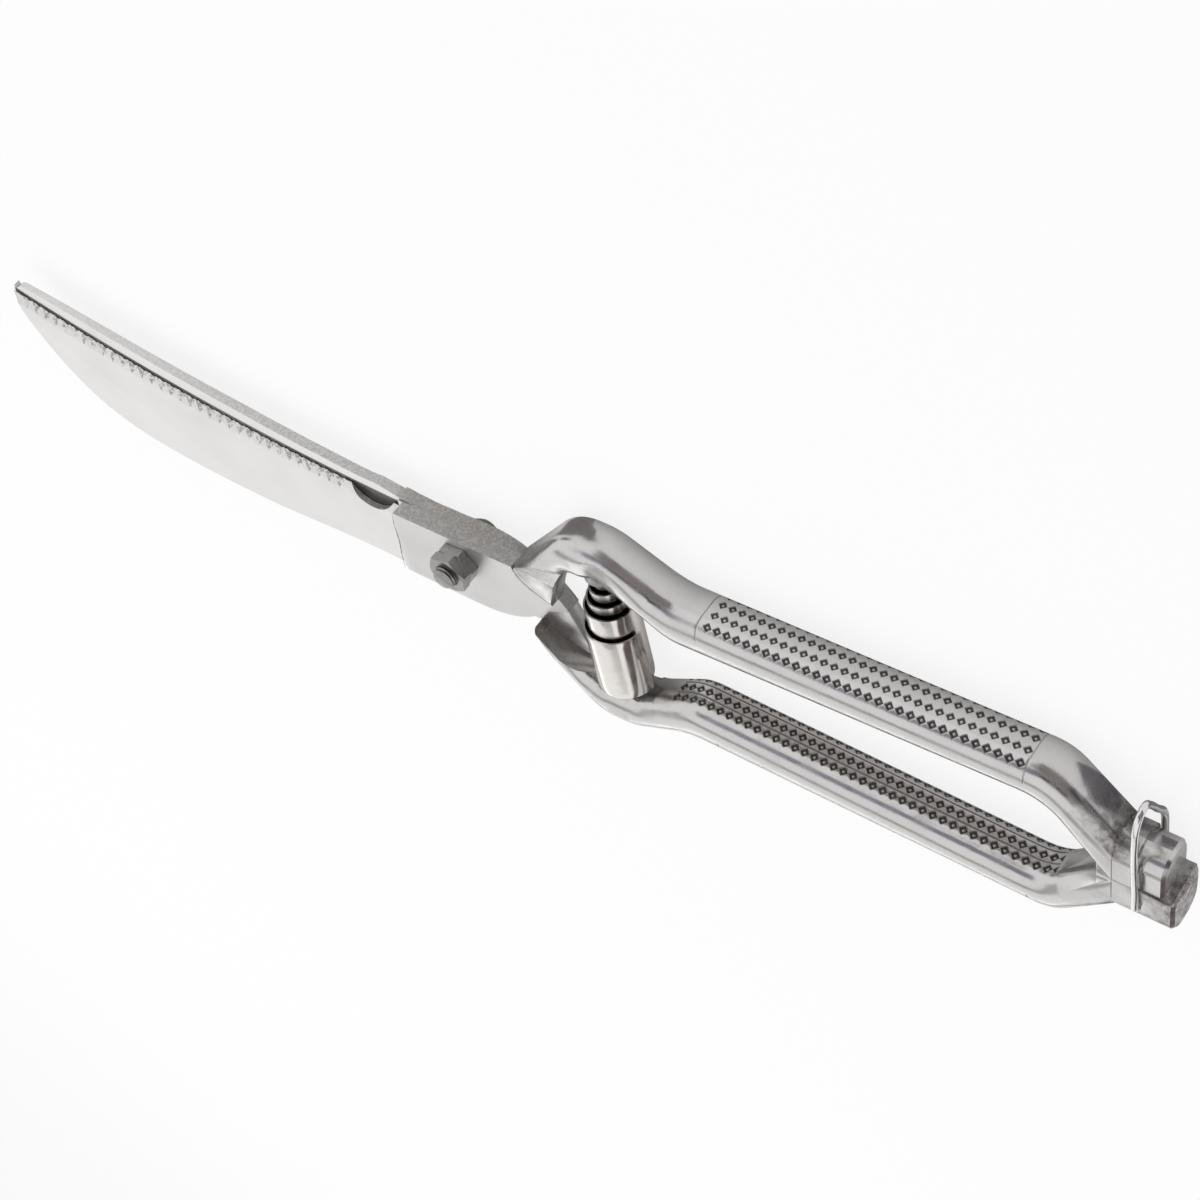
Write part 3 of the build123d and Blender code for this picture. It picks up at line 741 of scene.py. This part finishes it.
def grip_sleeve(tree, outward):
    """The pitted stretch of one handle: points, quads, painted shade, leans and two end planes.
    """
    xs, centres, length = bar_line(tree, outward)
    start, end = np.interp((SLEEVE_START_X, SLEEVE_END_X), xs, length)
    count = int(round((end - start) / settings().grip.mesh_step)) + 1
    stations = np.linspace(start, end, count)
    place_x = np.interp(stations, length, xs)
    place_y = np.interp(stations, length, centres)
    slopes = np.interp(place_x, xs, smoothed(np.gradient(centres, xs), 4))
    probed = slice(None, None, PROBE_EVERY)
    halves = []
    for x, y, slope in zip(place_x[probed], place_y[probed], slopes[probed]):
        normal = Vector((-slope * outward, outward, 0)).normalized()
        centre = Vector((x, y, mid_z))
        halves.append([(tree.ray_cast(centre, way)[0] - centre).length
                       for way in (normal, -normal)])
    outer_half, inner_half = (np.interp(stations, stations[probed], half)
                              for half in zip(*halves))
    sections, ends = [], []
    for i in range(count):
        along = Vector((1, slopes[i], 0)).normalized()
        normal = Vector((-along.y, along.x, 0)) * outward
        centre = Vector((place_x[i], place_y[i], mid_z)) + normal * (
            outer_half[i] - inner_half[i]) / 2
        if i in (0, count - 1):
            ends.append((centre, along))
        sections.append(pressed_section(centre, normal, outer_half[i], inner_half[i], outward))
    points, film_and_shade, leans = (np.concatenate(part) for part in zip(*sections))
    around = len(points) // count
    ease_on_to_bar(points, stations, around, tree)
    quads = ring_quads(count, around)
    if outward > 0:
        quads = [quad[::-1] for quad in quads]
    return points, quads, film_and_shade, leans, ends


def share_between(value, start, end):
    """0 before start, 1 after end, even between them."""
    return min(1.0, max(0.0, (value - start) / (end - start)))


def lean_at(point, sides):
    """Which way a crowned bar leans at one place on the frame's own surface."""
    share = (share_between(point.x, *CROWN_STARTS_X)
             * (1 - share_between(point.x, *CROWN_ENDS_X)))
    _, outward, _, reach = sides.find_nearest(point)
    level = max(0.0, 1 - reach / CROWN_REACH)
    return share * (outward * level
                    + Vector((0, 0, (point.z - mid_z) / BAR_HALF_WIDTH)))


def cut_copy(mesh, ends):
    """The two ends of the frame's own bar, left and right of the sleeve."""
    made = []
    for (centre, along), keep in zip(ends, (-1, 1)):
        bm = bmesh.new()
        bm.from_mesh(mesh)
        bmesh.ops.remove_doubles(bm, verts=bm.verts, dist=SAME_PLACE)
        bmesh.ops.bisect_plane(bm, geom=bm.verts[:] + bm.edges[:] + bm.faces[:],
                               plane_co=centre, plane_no=along * keep, clear_inner=True)
        bm.verts.ensure_lookup_table()
        points = [vertex.co.copy() for vertex in bm.verts]
        faces = [tuple(vertex.index for vertex in face.verts) for face in bm.faces]
        made.append((points, faces))
        bm.free()
    return made


# painted shade in a handle's neck and root: place along it, its spread and how high up it
# starts
NECK_SHADE = (136.0 * MM, 4.0 * MM, 7.0 * MM)
ROOT_SHADE = (15.5 * MM, 3.5 * MM, 8.6 * MM)
RAW_END_DEPTH = 0.9 * MM


def shade_and_raw_end_at(point, outward):
    """Painted shade in a cast handle's neck and root, and the lower handle's raw end, left
    darker because it can't be polished.
    """
    x, y, _ = point
    rise = (y - meet_y) * outward
    neck, root = (math.exp(-((x - place) / spread) ** 2) * (rise > start)
                  for place, spread, start in (NECK_SHADE, ROOT_SHADE))
    raw_end = 0.9 * (outward < 0 and x > lower_high[0] - RAW_END_DEPTH)
    return min(1.0, neck + 0.7 * root + raw_end)


def crown_normals(mesh, surface, sides, leans, cast_faces):
    """Leans the normals outwards, because the cast bar is a little crowned all round.

    The first cast_faces faces are the frame's own, and the others are the sleeve's.
    """
    base = len(mesh.vertices) - len(leans)
    smooth = [vertex.normal + CROWN * Vector(lean)
              for vertex, lean in zip(list(mesh.vertices)[base:], leans)]
    normals = []
    for face in mesh.polygons:
        if face.index >= cast_faces:
            normals += [smooth[index - base].normalized() for index in face.vertices]
            continue
        for index in face.vertices:
            point = mesh.vertices[index].co
            found = normal_at(surface, point.lerp(face.center, 0.03))
            found = found if found.dot(face.normal) > 0.2 else face.normal
            normals.append((found + CROWN * lean_at(point, sides)).normalized())
    mesh.normals_split_custom_set(normals)


def dressed_handle(name, body, outward, material):
    """One handle: the frame's own ends and a pitted sleeve between them."""
    source = nodes[name].data
    surface = surface_of(source)
    sleeve_points, sleeve_quads, film_and_shade, leans, ends = grip_sleeve(surface[0], outward)
    sides = BVHTree.FromPolygons(
        surface[1], [tuple(face.vertices) for face in source.polygons
                     if abs(face.normal.z) < 0.2])
    points, faces, pits, shade_and_raw_end_values = [], [], [], []
    for part_points, part_faces in cut_copy(source, ends):
        base = len(points)
        points += part_points
        faces += [tuple(i + base for i in face) for face in part_faces]
        pits += [0.0] * len(part_points)
        shade_and_raw_end_values += [shade_and_raw_end_at(point, outward) for point in part_points]
    cast_faces = len(faces)
    base = len(points)
    points += [Vector(point) for point in sleeve_points]
    faces += [tuple(i + base for i in quad) for quad in sleeve_quads]
    pits += list(film_and_shade)
    shade_and_raw_end_values += [0.0] * len(sleeve_points)
    piece = new_piece(name + "_cast", points, faces, material, body)
    float_attribute(piece.data, "pit", pits)
    float_attribute(piece.data, "shade_and_raw_end", shade_and_raw_end_values)
    crown_normals(piece.data, surface, sides, leans, cast_faces)
    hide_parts(name)


# Pivot bolt with its rolled thread

THREAD_PITCH = 0.8 * MM
THREAD_DEPTH = 0.28 * MM
BOLT_RADIUS = 2.5 * MM
BOLT_AROUND = 96
# shares of the head's radius and height, from the table up
HEAD_PROFILE = ((0.0, 0.0), (0.34, 0.0), (0.47, 0.10), (0.62, 0.33), (0.73, 0.53),
                (0.84, 0.76), (0.88, 0.95), (0.87, 1.0))
# radius and drop of the domed end, in millimetres
END_DOME = ((2.30, 0.58), (2.12, 0.36), (1.86, 0.16), (1.5, 0.05), (0.8, 0.0), (0.0, 0.0))
THREAD_RUN_OUT = 0.62 * MM
THREAD_RISE = 0.05 * MM
MERGED_MIDDLE = 0.001 * MM


def bolt_profile(thread_start):
    """Radius and level from the middle of the head to the middle of the domed end."""
    head_low, head_top, end_z = bolt_low[2], back_low[2], bolt_high[2]
    profile = [(bolt_high[0] * out, head_low + (head_top - head_low) * up)
               for out, up in HEAD_PROFILE]
    profile += [(BOLT_RADIUS, head_top), (BOLT_RADIUS, thread_start)]
    z = thread_start + THREAD_RISE
    while z < end_z - THREAD_RUN_OUT:
        profile.append((BOLT_RADIUS, z))
        z += THREAD_RISE
    profile += [(radius * MM, end_z - drop * MM) for radius, drop in END_DOME]
    return profile


def threaded_bolt(material):
    """The bolt: domed head behind, thread through the nuts, domed end in front."""
    thread_start = front_high[2] - 0.2 * MM
    profile = bolt_profile(thread_start)
    points, film_and_shade = [], []
    for radius, z in profile:
        on_thread = z > thread_start and radius > BOLT_RADIUS - SAME_PLACE
        for k in range(BOLT_AROUND):
            angle = 2 * math.pi * k / BOLT_AROUND
            turn = (z / THREAD_PITCH + k / BOLT_AROUND) % 1.0
            groove = max(0.0, 1 - abs(turn - 0.5) / 0.42) if on_thread else 0.0
            reach = radius - THREAD_DEPTH * groove
            points.append((math.cos(angle) * reach, math.sin(angle) * reach, z))
            # the thread's grooves get painted shade
            film_and_shade.append(groove ** 2)
    piece = new_piece("pivot_bolt_threaded", points, ring_quads(len(profile), BOLT_AROUND),
                      material, "back_half")
    float_attribute(piece.data, "thread", film_and_shade)
    bm = bmesh.new()
    bm.from_mesh(piece.data)
    bmesh.ops.remove_doubles(bm, verts=bm.verts, dist=MERGED_MIDDLE)
    bm.to_mesh(piece.data)
    bm.free()
    piece.data.set_sharp_from_angle(angle=math.radians(40))
    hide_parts("pivot_bolt")


# Volute spring

SPRING_X = (spring_low[0] + spring_high[0]) / 2
STRIP_PITCH = 0.95 * MM
OUTER_RADIUS = 6.0 * MM
STRIP_STEPS = 72
STRIP_ROWS = 20
STRIP_LIP = 0.06 * MM
FOOT_RISE = 0.6 * MM
# where each turn's top edge stands, as a share of the spring's height
TURN_TOPS = (0.5625, 0.75, 0.83224, 0.91776, 1.0)
CLIMB_SHARE = 0.14


def strip_top(turn):
    """Share of the spring's height that the strip's top edge reaches at a turn."""
    whole = min(int(turn), len(TURN_TOPS) - 1)
    ahead = TURN_TOPS[min(whole + 1, len(TURN_TOPS) - 1)]
    # the edge holds its level for most of a turn and climbs behind the next
    climb = max(0.0, (turn - whole - 1 + CLIMB_SHARE) / CLIMB_SHARE)
    climb = climb * climb * (3 - 2 * climb)
    return TURN_TOPS[whole] + (ahead - TURN_TOPS[whole]) * climb


def strip_faces(count):
    """Faces of the strip: both sides, both edges and both ends."""
    rows, ring = STRIP_ROWS, 2 * (STRIP_ROWS + 1)
    faces = []
    for a in range(0, (count - 1) * ring, ring):
        b = a + ring
        for k in range(rows):
            faces.append((a + k, a + k + 1, b + k + 1, b + k))
            c, d = a + rows + 1 + k, b + rows + 1 + k
            faces.append((c, d, d + 1, c + 1))
        faces.append((a + rows, a + ring - 1, b + ring - 1, b + rows))
        faces.append((a, b, b + rows + 1, a + rows + 1))
    for a in (0, (count - 1) * ring):
        for k in range(rows):
            quad = (a + k, a + rows + 1 + k, a + rows + 2 + k, a + k + 1)
            faces.append(quad if a == 0 else quad[::-1])
    return faces


def volute_spring(material):
    """One strip wound into a cone of turns, each standing higher than the last."""
    spring = settings().spring
    count = int((spring.turns - 0.5) * STRIP_STEPS) + 1
    low, high = spring_low[1], spring_high[1]
    points, inner = [], []
    for turn in (i / STRIP_STEPS for i in range(count)):
        angle = 2 * math.pi * turn
        foot = low + FOOT_RISE * turn
        top = low + (high - low) * strip_top(turn)
        radius = OUTER_RADIUS - STRIP_PITCH * turn
        for side in (1, -1):
            # the inner side and the inner turns get painted shade
            dark = 1.0 if side < 0 or turn >= 2 else 0.0
            for k in range(STRIP_ROWS + 1):
                lip = STRIP_LIP if k in (0, STRIP_ROWS) else 0.0
                r = radius + side * (spring.strip / 2 - lip)
                y = foot + (top - foot) * k / STRIP_ROWS
                points.append((SPRING_X + r * math.cos(angle), y, mid_z + r * math.sin(angle)))
                inner.append(0.0 if k == STRIP_ROWS else dark)
    piece = new_piece("volute_spring", points, strip_faces(count), material, None)
    float_attribute(piece.data, "inner", inner)
    piece.data.set_sharp_from_angle(angle=math.radians(50))
    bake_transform(piece)
    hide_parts("buffer_spring")


# Wire catch

WIRE_RADIUS = 0.65 * MM
CATCH_X = 142.0 * MM
CATCH_Y = -9.2 * MM


def wire_mesh(name, route):
    """A round wire along a smooth line through chosen places."""
    curve = bpy.data.curves.new(name + "_line", "CURVE")
    curve.dimensions = "3D"
    curve.resolution_u = 10
    curve.bevel_depth = WIRE_RADIUS
    curve.bevel_resolution = 6
    curve.use_fill_caps = True
    spline = curve.splines.new("BEZIER")
    spline.bezier_points.add(len(route) - 1)
    for point, place in zip(spline.bezier_points, route):
        point.co = place
        point.handle_left_type = point.handle_right_type = "AUTO"
    holder = bpy.data.objects.new(name + "_line", curve)
    bpy.context.scene.collection.objects.link(holder)
    bpy.context.view_layer.update()
    mesh = bpy.data.meshes.new_from_object(holder)
    bpy.data.objects.remove(holder)
    mesh.shade_smooth()
    return mesh


def wire_catch(material):
    """The bail: one wire from the hole behind, over the upper handle and back in front."""
    low_z = catch_low[2] + WIRE_RADIUS
    high_z = catch_high[2] - WIRE_RADIUS
    top_y = catch_high[1] - WIRE_RADIUS
    x = CATCH_X - 0.3 * MM
    route = [(CATCH_X, CATCH_Y, low_z + 3.2 * MM), (CATCH_X, CATCH_Y, low_z + 0.9 * MM),
             (CATCH_X, CATCH_Y + 0.7 * MM, low_z + 0.12 * MM),
             (CATCH_X, CATCH_Y + 1.8 * MM, low_z + 0.01 * MM),
             (x, 0.0, low_z), (x, 6.2 * MM, low_z + 0.6 * MM),
             (x, 11.0 * MM, mid_z - 2.2 * MM), (x, top_y - 1.7 * MM, mid_z + 0.7 * MM),
             (x, top_y - 0.2 * MM, mid_z + 1.9 * MM), (x, top_y - 0.1 * MM, mid_z + 3.3 * MM),
             (x, top_y - 0.9 * MM, high_z - 1.2 * MM), (x, top_y - 3.0 * MM, high_z - 0.2 * MM),
             (x, top_y - 5.5 * MM, high_z), (x, 4.0 * MM, high_z), (CATCH_X, -4.0 * MM, high_z),
             (CATCH_X, CATCH_Y + 1.8 * MM, high_z - 0.01 * MM),
             (CATCH_X, CATCH_Y + 0.7 * MM, high_z - 0.12 * MM),
             (CATCH_X, CATCH_Y, high_z - 0.9 * MM), (CATCH_X, CATCH_Y, high_z - 3.2 * MM)]
    piece = piece_of("wire_bail", wire_mesh("wire_bail", route), material, "catch")
    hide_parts("wire_catch")


# Stage

CAMERA_PLACE = (0.22513, 0.31991, 0.18761)
CAMERA_RIGHT = Vector((0.8055, -0.1667, -0.5687))
CAMERA_UP = Vector((-0.3634, 0.6192, -0.6961))
CAMERA_FOCAL = 67.2
CAMERA_SENSOR = 36.0


def photo_camera():
    """The camera at the photograph's place and angle."""
    data = bpy.data.cameras.new("photo_camera")
    data.lens = CAMERA_FOCAL
    data.sensor_width = CAMERA_SENSOR
    data.sensor_fit = "HORIZONTAL"
    data.clip_start = 0.01
    camera = bpy.data.objects.new("photo_camera", data)
    bpy.context.scene.collection.objects.link(camera)
    right = CAMERA_RIGHT.normalized()
    up = (CAMERA_UP - right * CAMERA_UP.dot(right)).normalized()
    back = right.cross(up)
    turn = Matrix((right, up, back)).transposed().to_4x4()
    camera.matrix_world = Matrix.Translation(CAMERA_PLACE) @ turn
    bpy.context.scene.camera = camera


def seen_white(tree, gloss_share=1.0):
    """1 for what the camera and glass see, and gloss_share for what gloss sees."""
    path = tree.nodes.new("ShaderNodeLightPath")
    gloss = tree.nodes.new("ShaderNodeMath")
    gloss.operation = "MULTIPLY"
    gloss.inputs[1].default_value = gloss_share
    tree.links.new(path.outputs["Is Glossy Ray"], gloss.inputs[0])
    seen = gloss.outputs[0]
    for name in ("Is Camera Ray", "Is Transmission Ray"):
        either = tree.nodes.new("ShaderNodeMath")
        either.operation = "MAXIMUM"
        tree.links.new(seen, either.inputs[0])
        tree.links.new(path.outputs[name], either.inputs[1])
        seen = either.outputs[0]
    return seen


FLOOR_HALF_SIZE = 3.0
FLOOR_WHITE = 0.85
FLOOR_GLOSS = 0.1


def flat_sheet(name, half_width, half_depth, material):
    """A level rectangle of studio cloth or floor, round its own middle."""
    mesh = bpy.data.meshes.new(name)
    mesh.from_pydata([(-half_width, -half_depth, 0), (half_width, -half_depth, 0),
                      (half_width, half_depth, 0), (-half_width, half_depth, 0)],
                     [], [(0, 1, 2, 3)])
    mesh.materials.append(material)
    sheet = bpy.data.objects.new(name, mesh)
    bpy.context.scene.collection.objects.link(sheet)
    return sheet


def white_floor():
    """A pale floor that keeps the shadow, and is white to the camera."""
    material = bpy.data.materials.new("pale_studio_floor")
    material.use_nodes = True
    tree = material.node_tree
    shader = tree.nodes["Principled BSDF"]
    shader.inputs["Base Color"].default_value = (0.9, 0.9, 0.9, 1)
    shader.inputs["Roughness"].default_value = 0.9
    shader.inputs["Specular IOR Level"].default_value = 0.0
    glow = tree.nodes.new("ShaderNodeEmission")
    glow.inputs["Strength"].default_value = 1.0
    mix = tree.nodes.new("ShaderNodeMixShader")
    share = tree.nodes.new("ShaderNodeMath")
    share.operation = "MULTIPLY"
    share.inputs[1].default_value = FLOOR_WHITE
    tree.links.new(seen_white(tree, FLOOR_GLOSS), share.inputs[0])
    tree.links.new(share.outputs[0], mix.inputs[0])
    tree.links.new(shader.outputs[0], mix.inputs[1])
    tree.links.new(glow.outputs[0], mix.inputs[2])
    tree.links.new(mix.outputs[0], tree.nodes["Material Output"].inputs["Surface"])
    floor = flat_sheet("studio_floor", FLOOR_HALF_SIZE, FLOOR_HALF_SIZE, material)
    floor.location.z = cad_box[0][2] - 0.05 * MM


def studio_world():
    """Even light from all round, and white to the camera."""
    world = bpy.data.worlds.new("studio_world")
    bpy.context.scene.world = world
    world.use_nodes = True
    tree = world.node_tree
    background = tree.nodes["Background"]
    background.inputs["Color"].default_value = (1, 1, 1, 1)
    strength = tree.nodes.new("ShaderNodeMix")
    strength.data_type = "FLOAT"
    tree.links.new(seen_white(tree), strength.inputs[0])
    strength.inputs[2].default_value = settings().stage.world_strength
    strength.inputs[3].default_value = 1.0
    tree.links.new(strength.outputs[0], background.inputs["Strength"])


CARD_DISTANCE = 0.9
CARD_AIM = Vector((0.015, 0, mid_z))
# name, azimuth, elevation, width and height in degrees, and shade
STUDIO_CARDS = (
    ("camera_drape", 50, 24, 84, 44, (0.26, 0.235, 0.225)),
    ("drape_hem", 52, 55, 64, 16, (0.05, 0.045, 0.06)),
    ("low_far_flag", -114, 4, 60, 5, (0.08, 0.07, 0.07)),
    ("tip_flag", 186, 3, 34, 16, (0.12, 0.105, 0.10)),
    ("side_flag", 146, 4, 28, 16, (0.16, 0.14, 0.14)),
    ("high_flag", 104, 54, 34, 22, (0.26, 0.26, 0.32)),
    ("end_flag", -42, 12, 60, 26, (0.12, 0.10, 0.095)),
    ("heel_card", 12, 12, 30, 26, (0.07, 0.07, 0.09)),
    ("grey_strip", -116, 52, 80, 18, (0.46, 0.455, 0.45)),
    ("bright_strip", -110, 12, 36, 12, (1.5, 1.5, 1.48)),
)
# sheets of painted floor shadow that only the steel's reflections see: name, centre, width and
# depth in millimetres, and shade
FLOOR_SHADOW_SHEETS = (
    ("arch_floor_shadow", 10, 31, 40, 26, (0.22, 0.21, 0.21)),
    ("heel_floor_shadow", 142, 12, 22, 12, (0.17, 0.165, 0.18)),
    ("grip_floor_shadow", 85, -5, 72, 14, (0.40, 0.37, 0.36)),
    ("boss_floor_shadow", -2, 14, 26, 12, (0.55, 0.53, 0.52)),
)


def soft_lamp(name, place, size, power):
    """A soft lamp over the shears that their mirror images don't show."""
    data = bpy.data.lights.new(name, "AREA")
    data.shape = "RECTANGLE"
    data.size, data.size_y = size
    data.energy = power
    lamp = bpy.data.objects.new(name, data)
    lamp.location = place
    lamp.rotation_euler = (-Vector(place)).to_track_quat("-Z", "Y").to_euler()
    lamp.visible_camera = False
    lamp.visible_glossy = False
    bpy.context.scene.collection.objects.link(lamp)


def flat_card(name, place, turned, width, depth, shade):
    """A card that only the steel's reflections see."""
    material = bpy.data.materials.new(name + "_cloth")
    material.use_nodes = True
    tree = material.node_tree
    glow = tree.nodes.new("ShaderNodeEmission")
    glow.inputs["Color"].default_value = (*shade, 1)
    tree.links.new(glow.outputs[0], tree.nodes["Material Output"].inputs["Surface"])
    card = flat_sheet(name, width / 2, depth / 2, material)
    card.location = place
    card.rotation_euler = turned
    card.visible_camera = False
    card.visible_diffuse = False
    card.visible_shadow = False
    card.visible_transmission = False


def studio_card(name, azimuth, elevation, width, height, shade):
    """A standing card, placed by its angles on the sky."""
    turn, lift = math.radians(azimuth), math.radians(elevation)
    toward = Vector((math.cos(turn) * math.cos(lift), math.sin(turn) * math.cos(lift),
                     math.sin(lift)))
    width, height = (2 * CARD_DISTANCE * math.tan(math.radians(angle) / 2)
                     for angle in (width, height))
    flat_card(name, CARD_AIM + toward * CARD_DISTANCE,
              (-toward).to_track_quat("Z", "Y").to_euler(), width, height, shade)


def floor_shadow_sheet(name, x, y, width, depth, shade):
    """A card on the floor beside the shears, a painted shadow of them that only the steel's
    reflections see.
    """
    place = Vector((x * MM, y * MM, cad_box[0][2] - 0.02 * MM))
    flat_card(name, place, (0, 0, 0), width * MM, depth * MM, shade)


# Operators

class SHEARS_OT_blades(bpy.types.Operator):
    """Polish both blades"""
    bl_idname = "shears.blades"
    bl_label = "Blades"

    def execute(self, context):
        steel = blade_steel()
        wear("front_blade", steel)
        slim_back_blade(steel)
        film_and_shade = dark_film()
        front_z, back_z = front_high[2] + SEAM_PROUD, back_low[2] - SEAM_PROUD
        seam_line("palm_seam", PALM_SEAM, front_z, "front_half", film_and_shade)
        seam_line("shoulder_seam", SHOULDER_SEAM, front_z, "front_half", film_and_shade)
        seam_line("back_palm_seam", PALM_SEAM, back_z, "back_half", film_and_shade, turned=True)
        return {"FINISHED"}


class SHEARS_OT_handles(bpy.types.Operator):
    """Cast both handles with their pressed grip panels"""
    bl_idname = "shears.handles"
    bl_label = "Handles"

    def execute(self, context):
        steel = handle_steel()
        dressed_handle("upper_handle", "front_half", 1, steel)
        dressed_handle("lower_handle", "back_half", -1, steel)
        return {"FINISHED"}


class SHEARS_OT_pivot(bpy.types.Operator):
    """Turn the bolt, the two nuts and the spring's pegs"""
    bl_idname = "shears.pivot"
    bl_label = "Pivot and pegs"

    def execute(self, context):
        steel = fastener_steel()
        threaded_bolt(steel)
        for name in ("pivot_nut", "lock_nut", "upper_spring_peg", "lower_spring_peg"):
            wear(name, steel)
        return {"FINISHED"}


class SHEARS_OT_spring(bpy.types.Operator):
    """Wind the volute spring"""
    bl_idname = "shears.spring"
    bl_label = "Spring"

    def execute(self, context):
        volute_spring(spring_steel())
        return {"FINISHED"}


class SHEARS_OT_catch(bpy.types.Operator):
    """Bend the wire catch"""
    bl_idname = "shears.catch"
    bl_label = "Wire catch"

    def execute(self, context):
        wire_catch(wire_steel())
        return {"FINISHED"}


class SHEARS_OT_stage(bpy.types.Operator):
    """Set up the floor, the light and the camera"""
    bl_idname = "shears.stage"
    bl_label = "Stage"

    def execute(self, context):
        context.scene.view_settings.view_transform = "Standard"
        white_floor()
        studio_world()
        photo_camera()
        soft_lamp("key_softbox", (-0.25, -0.30, 0.70), (0.9, 0.8),
                  settings().stage.key_power)
        for card in STUDIO_CARDS:
            studio_card(*card)
        # sheets of painted floor shadow, seen only in the steel's reflections
        for shadow_sheet in FLOOR_SHADOW_SHEETS:
            floor_shadow_sheet(*shadow_sheet)
        return {"FINISHED"}


class SHEARS_PT_panel(bpy.types.Panel):
    """Lists the shears' steps and settings"""
    bl_label = "Poultry shears"
    bl_idname = "SHEARS_PT_panel"
    bl_space_type = "VIEW_3D"
    bl_region_type = "UI"
    bl_category = "Shears"

    def draw(self, context):
        layout = self.layout
        for step in steps:
            layout.operator(step.bl_idname)
        for group in (settings().finish, settings().grip, settings().spring,
                      settings().stage):
            box = layout.box()
            for key in group.__annotations__:
                box.prop(group, key)


steps = (SHEARS_OT_blades, SHEARS_OT_handles, SHEARS_OT_pivot, SHEARS_OT_spring,
         SHEARS_OT_catch, SHEARS_OT_stage)
classes = (ShearsFinish, ShearsGrip, ShearsSpring, ShearsStage, ShearsSettings,
           *steps, SHEARS_PT_panel)


def register():
    for item in classes:
        bpy.utils.register_class(item)
    bpy.types.Scene.shears = PointerProperty(type=ShearsSettings)


def unregister():
    del bpy.types.Scene.shears
    for item in reversed(classes):
        bpy.utils.unregister_class(item)


def main():
    register()
    bpy.ops.shears.blades()
    bpy.ops.shears.handles()
    bpy.ops.shears.pivot()
    bpy.ops.shears.spring()
    bpy.ops.shears.catch()
    bpy.ops.shears.stage()


if __name__ == "__main__":
    main()
